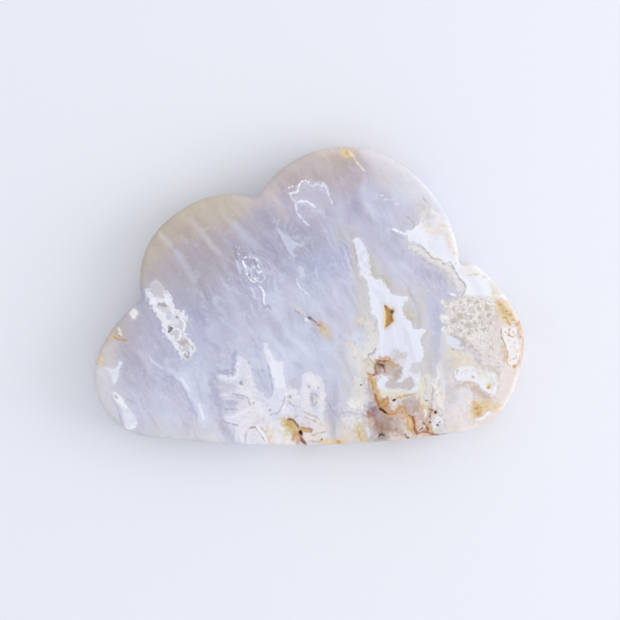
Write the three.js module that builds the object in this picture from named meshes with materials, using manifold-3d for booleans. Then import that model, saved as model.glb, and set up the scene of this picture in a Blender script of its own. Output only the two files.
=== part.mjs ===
// A polished free-form slab of cloud agate: 80 mm across, 55 mm deep and 9 mm thick, lying on its back.
// Millimetres, +Z up. The origin is under the middle of the slab, on the surface that it rests on.
import * as THREE from "three";
import { mergeVertices } from "three/addons/utils/BufferGeometryUtils.js";
import Module from "manifold-3d";

// Driving dimensions.
const THICKNESS = 9;
const EDGE_ROUNDING = 0.9; // the polished rounding between a flat side and the rim
const RIM_CROWN = 26; // the rim bulges out a little between its two roundings, on this radius
const OUTLINE_STEP = 1.3; // the longest stretch between two points of the outline
const FINEST_ARC = Math.PI / 9; // the widest turn between two points of the outline
const LARGEST_TURN = 1.5 * Math.PI; // no lobe shows more of its circle than this
const ROUNDING_STEPS = 4;
const CROWN_STEPS = 4;
const HOLLOW_POINTS = 28;
const WALL_SHARE = 0.8; // a hollow's wall goes down this share of its depth before it bends into the floor
const GROOVE_END = 0.15; // how much of the groove's width and depth is left where it runs out
const PORE_SIDES = 12;
const ABOVE_FACE = 0.4; // how far a cutter stands over the face that it cuts

// The outline is a ring of round lobes, anticlockwise from the lower right. Each is met by the next one
// through another arc: a crown that bulges out over both, or a fillet that fills the dip between them.
const LOBES = [
  { x: 26.2, y: -12.75, radius: 12.7, crown: 33.6 }, // right corner
  { x: 28.4, y: -8.75, radius: 11.5, crown: 28.3 }, // right side
  { x: 29.6, y: 3.65, radius: 2.6, fillet: 0.6 }, // right lip
  { x: 24.45, y: 7.15, radius: 3.4, crown: 24.1 }, // top lip
  { x: 6.5, y: 9.05, radius: 18.7, fillet: 1.2 }, // top lobe
  { x: -14.8, y: 4.15, radius: 14.8, crown: 22.5 }, // upper left crown
  { x: -16.9, y: 3.05, radius: 14.55, fillet: 0.6 }, // upper left side
  { x: -29.1, y: -3.85, radius: 3.9, crown: 26 }, // left lip
  { x: -28.3, y: -14.75, radius: 11.6, crown: 217.4 }, // left lobe
];

// Open hollows in the polished face. A rim is the hollow's edge on the face, and the floor is that much
// of the rim's size at the full depth.
const HOLLOWS = [
  // the gold pocket
  {
    depth: 1.1,
    floor: 0.45,
    rim: [
      [13.75, -1.7],
      [14.2, -1.8],
      [14.9, -2.35],
      [15.8, -2.45],
      [15.4, -3.2],
      [15.2, -4.0],
      [15.5, -4.7],
      [14.9, -5.15],
      [14.4, -5.8],
      [14.0, -5.8],
      [14.15, -4.2],
      [14.05, -2.8],
    ],
  },
  // the crystal pocket
  {
    depth: 0.6,
    floor: 0.6,
    rim: [
      [-12.4, 6.7],
      [-11.3, 7.0],
      [-9.9, 6.9],
      [-9.0, 5.9],
      [-8.8, 4.8],
      [-9.6, 3.6],
      [-10.9, 2.9],
      [-11.9, 3.1],
      [-12.2, 4.9],
    ],
  },
  // the plume pit
  {
    depth: 0.5,
    floor: 0.4,
    rim: [
      [-25.95, -5.65],
      [-25.0, -5.9],
      [-25.35, -6.3],
      [-25.8, -6.8],
      [-26.05, -6.4],
    ],
  },
  // the chipped edge
  {
    depth: 1.9,
    floor: 0.5,
    rim: [
      [11.4, -27.6],
      [12.3, -26.1],
      [13.3, -25.0],
      [13.9, -25.5],
      [14.6, -25.9],
      [15.0, -27.4],
    ],
  },
];

// The brown fissure in the lower right of the face, a groove that runs out at both ends.
const FISSURE = {
  depth: 0.9,
  width: 0.5,
  route: [
    [12.15, -18.1],
    [12.5, -19.3],
    [12.75, -20.4],
    [13.3, -21.0],
    [13.8, -21.35],
    [14.5, -21.7],
  ],
};

// Small open pores in the face.
const PORES = [
  { x: 23.2, y: -21.4, radius: 0.28 }, // upper white pore
  { x: 22.25, y: -23.2, radius: 0.24 }, // lower white pore
  { x: 23.6, y: -23.75, radius: 0.24 }, // right white pore
  { x: 15.7, y: -19.1, radius: 0.28 }, // crack pore
  { x: -1.55, y: -25.2, radius: 0.35 }, // amber pore
  { x: -24.3, y: -3.9, radius: 0.28 }, // plume pore
  { x: 0.1, y: -4.1, radius: 0.3 }, // branch pore
];

const wasm = await Module();
wasm.setup();

// The arc that joins two lobes: its centre, radius, and +1 for a crown or -1 for a fillet.
function joinOf(from, to) {
  const side = from.crown ? 1 : -1;
  const radius = from.crown || from.fillet;
  const a = new THREE.Vector2(from.x, from.y);
  const along = new THREE.Vector2(to.x, to.y).sub(a);
  const gap = along.length();
  along.normalize();
  const inward = new THREE.Vector2(-along.y, along.x);
  const reachFrom = radius - side * from.radius;
  const reachTo = radius - side * to.radius;
  const run = (reachFrom ** 2 - reachTo ** 2 + gap ** 2) / (2 * gap);
  const rise = Math.sqrt(reachFrom ** 2 - run ** 2);
  const centre = a.addScaledVector(along, run).addScaledVector(inward, side * rise);
  return { centre, radius, side };
}

// Points of one arc from its first direction to just before its last one, each with the outline's normal.
function arcPoints(centre, radius, side, first, last, anticlockwise) {
  const start = Math.atan2(first.y, first.x);
  let turn = Math.atan2(last.y, last.x) - start;
  const full = 2 * Math.PI;
  if (anticlockwise) turn -= full * Math.floor(turn / full);
  else turn -= full * Math.round(turn / full);
  if (turn > LARGEST_TURN) throw new Error(`the lobe at ${centre.x}, ${centre.y} is hidden by its neighbours`);
  const steps = Math.max(1, Math.ceil(Math.abs(turn) * Math.max(radius / OUTLINE_STEP, 1 / FINEST_ARC)));
  return Array.from({ length: steps }, (_, i) => {
    const angle = start + (turn * i) / steps;
    const out = new THREE.Vector2(Math.cos(angle), Math.sin(angle));
    return { point: centre.clone().addScaledVector(out, radius), normal: out.clone().multiplyScalar(side) };
  });
}

// The whole outline where the slab is widest, anticlockwise seen from above.
function outlinePoints() {
  const joins = LOBES.map((lobe, i) => joinOf(lobe, LOBES[(i + 1) % LOBES.length]));
  return LOBES.flatMap((lobe, i) => {
    const before = joins[(i + joins.length - 1) % joins.length];
    const after = joins[i];
    const next = LOBES[(i + 1) % LOBES.length];
    const centre = new THREE.Vector2(lobe.x, lobe.y);
    const lobeStart = centre.clone().sub(before.centre).multiplyScalar(before.side);
    const lobeEnd = centre.clone().sub(after.centre).multiplyScalar(after.side);
    const joinStart = centre.clone().sub(after.centre);
    const joinEnd = new THREE.Vector2(next.x, next.y).sub(after.centre);
    return [
      ...arcPoints(centre, lobe.radius, 1, lobeStart, lobeEnd, true),
      ...arcPoints(after.centre, after.radius, after.side, joinStart, joinEnd, false),
    ];
  });
}

// The rim's section from the back to the face: how far each level lies in from the widest outline.
function rimSection() {
  const middle = THICKNESS / 2;
  const lean = Math.asin((middle - EDGE_ROUNDING) / (RIM_CROWN - EDGE_ROUNDING));
  const roundingInset = RIM_CROWN - (RIM_CROWN - EDGE_ROUNDING) * Math.cos(lean);
  const arc = (inset, z, radius, from, to, steps) =>
    Array.from({ length: steps + 1 }, (_, i) => {
      const angle = from + ((to - from) * i) / steps;
      return { inset: inset - radius * Math.cos(angle), z: z + radius * Math.sin(angle) };
    });
  const quarter = Math.PI / 2;
  return [
    ...arc(roundingInset, EDGE_ROUNDING, EDGE_ROUNDING, -quarter, -lean, ROUNDING_STEPS),
    ...arc(RIM_CROWN, middle, RIM_CROWN, -lean, lean, CROWN_STEPS).slice(1, -1),
    ...arc(roundingInset, THICKNESS - EDGE_ROUNDING, EDGE_ROUNDING, lean, quarter, ROUNDING_STEPS),
  ];
}

// A closed mesh through a stack of rings with equal counts, lowest first, each anticlockwise from above.
function closedStack(rings) {
  const count = rings[0].length;
  const corners = rings.flat();
  const faces = [];
  for (let level = 0; level + 1 < rings.length; level += 1) {
    for (let i = 0; i < count; i += 1) {
      const low = level * count;
      const next = (i + 1) % count;
      faces.push(low + i, low + next, low + count + next);
      faces.push(low + i, low + count + next, low + count + i);
    }
  }
  const flat = (ring) => ring.map((corner) => new THREE.Vector2(corner.x, corner.y));
  for (const [a, b, c] of THREE.ShapeUtils.triangulateShape(flat(rings[0]), [])) faces.push(c, b, a);
  const top = (rings.length - 1) * count;
  for (const [a, b, c] of THREE.ShapeUtils.triangulateShape(flat(rings.at(-1)), [])) {
    faces.push(top + a, top + b, top + c);
  }
  return new THREE.BufferGeometry().setFromPoints(corners).setIndex(faces);
}

// The plain slab before its hollows: flat back and face, rounded rim.
function slabGeometry() {
  const outline = outlinePoints();
  const rings = rimSection().map(({ inset, z }) =>
    outline.map(({ point, normal }) => {
      const corner = point.clone().addScaledVector(normal, -inset);
      return new THREE.Vector3(corner.x, corner.y, z);
    }),
  );
  return closedStack(rings);
}

// A bowl that cuts one hollow: its rim on the face, drawn in to a smaller floor.
function bowlGeometry({ depth, floor, rim }) {
  const curve = new THREE.CatmullRomCurve3(rim.map(([x, y]) => new THREE.Vector3(x, y, 0)), true);
  const edge = curve.getPoints(HOLLOW_POINTS).slice(0, -1);
  const shape = edge.map((corner) => new THREE.Vector2(corner.x, corner.y));
  if (THREE.ShapeUtils.area(shape) < 0) edge.reverse();
  const middle = edge.reduce((sum, corner) => sum.add(corner), new THREE.Vector3()).divideScalar(edge.length);
  const levels = [
    { size: floor, z: -depth },
    { size: (1 + floor) / 2, z: -WALL_SHARE * depth },
    { size: 1, z: 0 },
    { size: 1, z: ABOVE_FACE },
  ];
  const rings = levels.map(({ size, z }) =>
    edge.map((corner) => corner.clone().lerp(middle, 1 - size).setZ(THICKNESS + z)),
  );
  return closedStack(rings);
}

// A wedge that cuts a groove with a sharp bottom, widest in the middle of its route.
function grooveGeometry({ depth, width, route }) {
  const curve = new THREE.CatmullRomCurve3(route.map(([x, y]) => new THREE.Vector3(x, y, 0)));
  const steps = 2 * route.length;
  const corners = [];
  const faces = [];
  for (let i = 0; i <= steps; i += 1) {
    const share = i / steps;
    const open = GROOVE_END + (1 - GROOVE_END) * Math.sin(Math.PI * share);
    const spot = curve.getPointAt(share);
    const along = curve.getTangentAt(share);
    const across = new THREE.Vector3(-along.y, along.x, 0);
    const half = (width / 2) * open * (1 + ABOVE_FACE / depth);
    corners.push(spot.clone().setZ(THICKNESS - depth * open));
    corners.push(spot.clone().addScaledVector(across, half).setZ(THICKNESS + ABOVE_FACE));
    corners.push(spot.clone().addScaledVector(across, -half).setZ(THICKNESS + ABOVE_FACE));
  }
  for (let i = 0; i < steps; i += 1) {
    for (let edge = 0; edge < 3; edge += 1) {
      const a = 3 * i + edge;
      const b = 3 * i + ((edge + 1) % 3);
      faces.push(a, b + 3, a + 3, a, b, b + 3);
    }
  }
  faces.push(0, 2, 1, 3 * steps, 3 * steps + 1, 3 * steps + 2);
  return new THREE.BufferGeometry().setFromPoints(corners).setIndex(faces);
}

// A ball sunk into the face to just under its middle cuts one pore.
function poreGeometry({ x, y, radius }) {
  const ball = new THREE.SphereGeometry(radius, PORE_SIDES, PORE_SIDES / 2);
  return ball.rotateX(Math.PI / 2).translate(x, y, THICKNESS + radius / 8);
}

function solidOf(geometry) {
  const bare = geometry.clone();
  bare.deleteAttribute("normal");
  bare.deleteAttribute("uv");
  const merged = mergeVertices(bare);
  const vertProperties = merged.attributes.position.array;
  const triVerts = new Uint32Array(merged.index.array);
  const solid = new wasm.Manifold(new wasm.Mesh({ numProp: 3, vertProperties, triVerts }));
  if (solid.volume() <= 0) throw new Error("a solid's faces point inwards");
  return solid;
}

function geometryOf(solid) {
  const { vertProperties, triVerts } = solid.getMesh();
  const geometry = new THREE.BufferGeometry();
  geometry.setAttribute("position", new THREE.BufferAttribute(vertProperties, 3));
  geometry.setIndex(new THREE.BufferAttribute(triVerts, 1));
  geometry.computeVertexNormals();
  return geometry;
}

function stone() {
  const cutters = [
    ...HOLLOWS.map(bowlGeometry),
    grooveGeometry(FISSURE),
    ...PORES.map(poreGeometry),
  ];
  const solid = cutters.reduce((left, cutter) => left.subtract(solidOf(cutter)), solidOf(slabGeometry()));
  const mesh = new THREE.Mesh(
    geometryOf(solid),
    new THREE.MeshStandardMaterial({ color: 0xc9c7d6, roughness: 0.2, metalness: 0 }),
  );
  mesh.name = "cloud_agate";
  return mesh;
}

const slab = new THREE.Group();
slab.add(stone());

export default slab;
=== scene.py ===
"""The looks of a polished cloud agate slab: its fine mesh, its markings, and the pale stage it lies on."""

import math
from collections import namedtuple

import bpy
import numpy as np
from bpy.props import FloatProperty, FloatVectorProperty, IntProperty, PointerProperty
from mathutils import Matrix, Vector
from mathutils.geometry import delaunay_2d_cdt


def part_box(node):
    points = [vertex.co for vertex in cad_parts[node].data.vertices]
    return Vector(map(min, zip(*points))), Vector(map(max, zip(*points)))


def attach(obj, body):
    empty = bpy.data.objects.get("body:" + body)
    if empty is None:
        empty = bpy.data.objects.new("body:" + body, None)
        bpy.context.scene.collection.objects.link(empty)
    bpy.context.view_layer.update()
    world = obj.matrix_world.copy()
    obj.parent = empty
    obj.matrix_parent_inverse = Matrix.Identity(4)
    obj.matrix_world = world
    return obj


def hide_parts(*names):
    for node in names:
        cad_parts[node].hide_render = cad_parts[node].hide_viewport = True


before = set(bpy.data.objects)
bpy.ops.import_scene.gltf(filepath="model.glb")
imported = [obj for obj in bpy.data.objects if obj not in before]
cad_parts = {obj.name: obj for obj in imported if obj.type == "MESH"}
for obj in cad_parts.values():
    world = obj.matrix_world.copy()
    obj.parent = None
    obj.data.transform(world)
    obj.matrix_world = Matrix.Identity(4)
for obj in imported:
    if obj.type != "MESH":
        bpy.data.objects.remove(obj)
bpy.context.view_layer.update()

bl_info = {
    "name": "Cloud Agate Slab",
    "version": (1, 0, 0),
    "blender": (4, 5, 0),
    "location": "3D View > Sidebar > Agate",
    "description": "Builds a polished slab of cloud agate with its banding, plumes, lace and rusty pockets",
    "category": "Object",
}

NODE = "cloud_agate"
PIECE = "cloud_agate_stone"
MM = 0.001

# Every colour is what the eye sees on the lit face, as red, green and blue from 0 to 255.
PALETTE = {
    "khaki": (193, 180, 166),
    "light_khaki": (201, 190, 174),
    "greige": (204, 198, 197),
    "tan": (203, 182, 168),
    "shell": (198, 187, 188),
    "rose": (206, 196, 198),
    "mauve": (177, 169, 177),
    "plum": (176, 171, 188),
    "dusk": (164, 157, 178),
    "violet": (179, 177, 197),
    "deep_violet": (160, 157, 186),
    "periwinkle": (182, 183, 206),
    "blue": (176, 180, 207),
    "slate": (158, 161, 190),
    "pale_periwinkle": (191, 192, 213),
    "lavender": (199, 196, 214),
    "lilac": (189, 182, 202),
    "mist": (198, 199, 219),
    "ice": (212, 217, 236),
    "pale_ice": (205, 209, 228),
    "milk": (224, 226, 239),
    "white": (240, 242, 250),
    "warm_white": (243, 240, 240),
    "river_white": (232, 234, 245),
    "grey": (196, 194, 203),
    "pale_grey": (208, 206, 212),
    "mid_grey": (178, 174, 182),
    "dark_grey": (152, 146, 154),
    "cream": (228, 223, 215),
    "pale_cream": (239, 236, 231),
    "blush_white": (234, 230, 235),
    "yellow_cream": (228, 219, 193),
    "pink_white": (232, 221, 217),
    "peach": (231, 212, 195),
    "pink": (222, 204, 201),
    "honey": (226, 200, 152),
    "straw": (210, 194, 150),
    "gold": (203, 166, 97),
    "amber": (184, 122, 52),
    "ochre": (201, 152, 98),
    "rust": (170, 103, 62),
    "red_brown": (150, 92, 74),
    "brown": (140, 98, 72),
    "dark_brown": (104, 62, 42),
    "bark": (66, 34, 20),
    "taupe": (186, 170, 166),
    "mauve_brown": (172, 152, 158),
    "olive": (186, 178, 148),
    "sage": (192, 193, 194),
    "orange": (219, 166, 108),
}

# Hollows in the face, over the solid's own: depth, wall width and rim, in millimetres.
Hollow = namedtuple("Hollow", "depth wall rim")
GOLD_POCKET = Hollow(0.7, 0.5, [(13.6, -1.6), (14.2, -1.8), (14.9, -2.35), (15.8, -2.45), (15.5, -3.2),
                                (15.4, -4), (15.6, -4.7), (15, -5.15), (14.4, -5.8), (13.9, -5.8),
                                (14, -4.2), (13.9, -2.8)])
CRYSTAL_POCKET = Hollow(0.35, 0.8, [(-12.4, 6.7), (-11.3, 7), (-9.9, 6.9), (-9, 5.9), (-8.8, 4.8),
                                    (-9.6, 3.6), (-10.9, 2.9), (-11.9, 3.1), (-12.2, 4.9)])
PLUME_PIT = Hollow(0.5, 0.3, [(-25.95, -5.65), (-25, -5.9), (-25.35, -6.3), (-25.8, -6.8), (-26.05, -6.4)])
CHIPPED_EDGE = Hollow(1.9, 0.7, [(11.4, -27.9), (12.3, -26.1), (13.3, -25), (13.9, -25.5), (14.6, -25.9),
                                 (15, -27.9)])
HOLLOWS = (GOLD_POCKET, CRYSTAL_POCKET, PLUME_PIT, CHIPPED_EDGE)
# How far outside its rim a hollow starts, and how far its rounded rim may pass its own points.
HOLLOW_LIP = 0.05
ROUNDING_MARGIN = 0.5
# The brown fissure. Its wall takes a share of its width.
FISSURE_DEPTH = 0.6
FISSURE_WIDTH = 0.45
FISSURE_WALL = 0.4
FISSURE_ROUTE = [(12.8, -20.5), (13.3, -21), (13.8, -21.35), (14.5, -21.7)]
# The pores. Their walls lie between two shares of their radius.
PORE_DEPTH = 0.5
PORE_WALL = (0.4, 1.3)
# Each pore's place and radius, in millimetres.
PORES = [(23.2, -21.4, 0.28), (22.25, -23.2, 0.24), (23.6, -23.75, 0.24), (15.7, -19.1, 0.28),
         (-1.55, -25.2, 0.35), (-24.3, -3.9, 0.28), (0.1, -4.1, 0.3)]
# The small pyramids in the crystal pocket: how many, their least and greatest height, the slope of their
# sides, the most they lean, how many sides each has, and how deep the pocket is where they start.
CRYSTAL_COUNT = 70
CRYSTAL_HEIGHTS = (0.15, 0.45)
CRYSTAL_SLOPE = 1.1
CRYSTAL_LEAN = 0.2
CRYSTAL_SIDES = 6
CRYSTAL_FLOOR = 0.05
CRYSTAL_SEED = 5

# Each crisp layer's ragged edge and soft edge, in millimetres, in the order they are laid down.
LAYERS = (("areas", 1.4, 0.16), ("patches", 1.1, 0.15), ("veins", 0.8, 0.13), ("flecks", 0.4, 0.1))
MASKS = ("lace", "mottle", "wispy", "banded", "raw")
# A line's width at its ends, as a share of its full width, and how fast it widens from there.
LINE_END = 0.45
LINE_WIDENING = 4
# How far a soft mark fades outward and inward from its edge, in blurs.
FADE_OUT = 1.6
FADE_IN = 0.8

# Below the face the markings lean, in millimetres a millimetre, and waver by smooth noise.
PATTERN_LEAN = (0.22, -0.3)
WAVER_LENGTH = 9
WAVER_REACH = 1.4
WAVER_DEPTH = 0.7
WAVER_SEEDS = (11, 12)
# Shakes that roughen every mark's edge: wavelength, reach and seed.
SHAKES = ((2.6, 0.1, 21), (0.9, 0.05, 31))
STAIN_SHAKE = (1.1, 0.45, 61)
# The grain leans to the right by so much a millimetre, and less at the lower right, between limits in X
# and Y. It bends by smooth noise and is stretched along itself. Depth counts in it by a share.
GRAIN_LEAN = 0.65
GRAIN_UPRIGHT = 0.5
UPRIGHT_X = (4, 22)
UPRIGHT_Y = (2, -10)
BEND_LENGTH = 7
BEND_REACH = 0.6
BEND_SEED = 41
GRAIN_STRETCH = 4
GRAIN_DEPTH = 0.5

# Noises of the material: features a millimetre, detail, and where they are given roughness and swirl.
BROAD_CLOUDS = (0.3, 5, 0.55, 0.5)
FINE_CLOUDS = (1.3, 3, 0.6, 0.8)
WISPS = (0.5, 6, 0.6, 0.9)
CLOTS = (0.45, 7, 0.68, 0.3)
RAGGED_EDGES = (1.2, 5, 0.64)
BANDS = (0.2, 4, 0.5, 0.3)
ISLES = (0.85, 4, 0.58, 1.2)
ISLE_COLOURS = (0.4, 2)
RAW_GRAIN = (4, 4)
# Details that show where a noise's value passes a smooth step: its start, its end and the most they cover.
PALE_WISPS = (0.5, 0.66, 0.7)
DARK_WISPS = (0.48, 0.34, 0.6)
PALE_CLOTS = (0.53, 0.66, 0.45)
PALE_LINES = (0.3, 0.46, 0.5)
DARK_LINES = (0.2, 0.05, 0.55)
ISLE_BODIES = (0.47, 0.52, 0.85)
ISLE_WINDOWS = (0.58, 0.63, 0.6)
GLOW = (-1.0, 0.1, 0.25)
# Details that show where two values have passed their smooth steps, and the most they cover.
ISLE_OUTLINES = ((0.44, 0.465), (0.5, 0.475), 0.5)
LACE_RIMS = ((0.07, 0.11), (0.17, 0.13), 0.4)
AREA_RIMS = ((-0.65, -0.2), (0.46, 0.6), 0.45)
# Each size of lace: its cells a millimetre and how strongly it shows. Then its shake: scale and reach.
LACE_SIZES = ((0.75, 0.7), (1.5, 0.5))
LACE_SHAKE = (1.1, 1.5)
# How often the banding's noise folds over into lines, and how much of the cloudiness is fine.
LINE_COUNT = 14
FINE_SHARE = 0.45
# How much a stain's strength and lightness vary.
STAIN_PATCHINESS = 0.9
STAIN_SHADING = -0.7
# Multipliers that darken a colour towards violet.
SHADE = (0.82, 0.8, 0.88)
BAND_SHADE = (0.8, 0.78, 0.87)
WINDOW_SHADE = (0.84, 0.83, 0.89)
AGATE_IOR = 1.54
# How far light scatters under the surface, in millimetres, and its share of each colour.
SCATTER_DEPTH = 1.5
SCATTER_TINT = (1.0, 0.95, 1.05)
ROUGHNESS_SWING = 0.06
# The unpolished hollows: depth and strength of their bumps, how much rougher they are, and how far below
# the face they may lie.
RAW_BUMP = 0.15
RAW_BUMP_STRENGTH = 0.6
RAW_ROUGHNESS = 0.35
RAW_REACH = 2
# The camera's film width in millimetres, and the nearest it sees in metres.
FILM_WIDTH = 36
NEAREST_SEEN = 0.01


class Marks:
    """The markings, each placed on the face in millimetres, kept in the order they are laid down.

    A mark begins with its colour and its strength from 0 to 1. A wash has no strength, and a mask has
    its kind in place of a colour. Lengths are in millimetres.
    """

    def __init__(self):
        self.washes = []
        self.hazes = []
        self.stains = []
        self.layers = {name: [] for name, _, _ in LAYERS}
        self.masks = {name: [] for name in MASKS}

    def wash(self, colour, radius, *places):
        """The ground colour round one or more places, melting into its neighbours."""
        self.washes.extend((colour, radius, place) for place in places)

    def haze(self, colour, strength, width, blur, *points):
        """A soft streak with no sharp edge."""
        self.hazes.append((colour, strength, width, blur, points, False))

    def cloud(self, colour, strength, blur, *points):
        """A soft patch with no sharp edge."""
        self.hazes.append((colour, strength, 0, blur, points, True))

    def stain(self, colour, strength, width, *points, blur=0.4):
        """A soft line, or a soft patch where the width is None, over the sharp patches."""
        self.stains.append((colour, strength, width or 0, blur, points, width is None))

    def area(self, colour, strength, *points):
        """A large sharp region, given by its outline."""
        self.layers["areas"].append((colour, strength, None, points))

    def patch(self, colour, strength, *points):
        """A smaller sharp region, laid over the areas."""
        self.layers["patches"].append((colour, strength, None, points))

    def band(self, colour, strength, width, *points):
        """A broad sharp line in the same layer as the patches."""
        self.layers["patches"].append((colour, strength, width, points))

    def blob(self, colour, strength, size, *places):
        """Round or oval spots in the same layer as the patches."""
        self.ovals("patches", colour, strength, size, places)

    def vein(self, colour, strength, width, *points):
        """A thin sharp line, laid over the patches."""
        self.layers["veins"].append((colour, strength, width, points))

    def spot(self, colour, strength, size, *places):
        """Round or oval spots in the same layer as the veins."""
        self.ovals("veins", colour, strength, size, places)

    def dash(self, colour, strength, width, *points):
        """A short line in the top layer."""
        self.layers["flecks"].append((colour, strength, width, points))

    def fleck(self, colour, strength, size, *places):
        """The smallest dots, laid over everything."""
        self.ovals("flecks", colour, strength, size, places)

    def ovals(self, layer, colour, strength, size, places):
        """Adds one oval outline for each place to a layer."""
        for x, y in places:
            self.layers[layer].append((colour, strength, None, oval(x, y, size)))

    def mask(self, kind, strength, blur, *points):
        """Where the lace, mottling, wisps, bands or unpolished finish show."""
        self.masks[kind].append((strength, blur, points))


def oval(x, y, size):
    """Eight points round a spot. The size is a radius, or a pair of half-widths along X and Y."""
    across, along = size if isinstance(size, tuple) else (size, size)
    turns = [math.tau * k / 8 for k in range(8)]
    return [(x + across * math.cos(t), y + along * math.sin(t)) for t in turns]


def ground_washes(lay):
    """The soft ground colours, from the khaki upper left rim to the honey-coloured right end."""
    lay.wash("khaki", 3.4, (-22, 14.5), (-26.5, 12), (-29.5, 8))
    lay.wash("light_khaki", 2.8, (-17, 17), (-20.5, 16), (-14, 17.6))
    lay.wash("khaki", 2.6, (-17.5, 14.6), (-21, 12.6), (-3.6, 22), (7.4, 25))
    lay.wash("greige", 2.4, (-11.5, 18), (-2.5, 24.6))
    lay.wash("mauve", 3.4, (-19.5, 9.5), (-25.5, 5.5), (-15.5, 10.5))
    lay.wash("plum", 3.4, (-20.5, 4.5), (-12, 10.5), (-15, 5.5), (-9, 14), (0, 11.5))
    lay.wash("violet", 3.6, (-24, 0), (-17.5, -0.5), (-5, 10.5), (-29, -4.5))
    lay.wash("periwinkle", 3.8, (-10.5, -1), (-20.5, -6), (-27.5, -9), (-4.5, 6), (4, 8.5), (-31, -8.5))
    lay.wash("blue", 3.2, (-16.5, -5), (1.5, 5.5), (-22, -9.5))
    lay.wash("pale_periwinkle", 3.6, (-18, -11), (1.5, 1.5), (-27, -13.5), (-31, -13), (-4, -2))
    lay.wash("mist", 3.8, (-12, -7), (6.3, -0.5), (-5.5, -5.5), (4.5, -13), (-27, -18), (16, 14), (-31, -21))
    lay.wash("pale_ice", 3.6, (-1, -9), (-1.5, -13), (-9.5, -12.5), (-19.5, -16))
    lay.wash("mist", 3, (-23, -21), (-25, -17.5), (-17.5, -20))
    lay.wash("pale_grey", 3, (-28, -24.5), (-22, -25.5), (-17, -25.5))
    lay.wash("lavender", 3.6, (-14, -19), (-33.3, -15.5), (14, 6), (19, 3), (24, 1.5))
    lay.wash("shell", 3, (-6.5, 20), (1.5, 23.8), (6.5, 23.4), (-8.5, 17.5), (-3, 22))
    lay.wash("tan", 2.6, (5, 25.5), (1, 26))
    lay.wash("rose", 2.8, (12, 24.5), (14.5, 22))
    lay.wash("lilac", 3.2, (7, 18.5), (9.5, 21.5), (1.5, 17.5), (-4.5, 16.5), (4.7, -19))
    lay.wash("mist", 3.4, (12, 17), (7, 14), (13, 10.5), (17.5, 9), (21, -2.5), (22.8, -6.5))
    lay.wash("milk", 3, (20, 20), (22.5, 17))
    lay.wash("pale_grey", 2.6, (17, 21.5))
    lay.wash("pale_ice", 3.2, (14.5, 20.5), (3.5, -9), (7, -15), (9.8, -8))
    lay.wash("cream", 3.2, (9.5, -12), (30, -11), (34, -8), (9, -20), (22, -17))
    lay.wash("grey", 3.2, (21.5, -11), (20.2, -8), (3.5, -24.5))
    lay.wash("lavender", 3, (25, -12), (24.5, -9), (6.5, -5.5))
    lay.wash("rose", 3.2, (16.5, -15))
    lay.wash("mauve", 2.6, (-34.5, -11))
    lay.wash("shell", 2.4, (-34.6, -6.2), (-36.6, -9))
    lay.wash("pink_white", 3, (33, -21.5), (35.8, -16.5), (31, -25), (36.8, -5), (28, -23.5), (27, -17.5),
             (29, -19))
    lay.wash("taupe", 2.8, (17.5, -23), (13.5, -21.5), (16.5, -20.3), (20.5, -22.5), (14.5, -26.5))
    lay.wash("pale_cream", 3, (-5.5, -26), (32, 2.5), (27, 8.5))
    lay.wash("lavender", 2.6, (-9, -19), (-13, -20), (-12, -26), (-2.5, -21))
    lay.wash("pale_grey", 2.4, (-38, -15.5), (-37.4, -19), (-35, -23))


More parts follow.
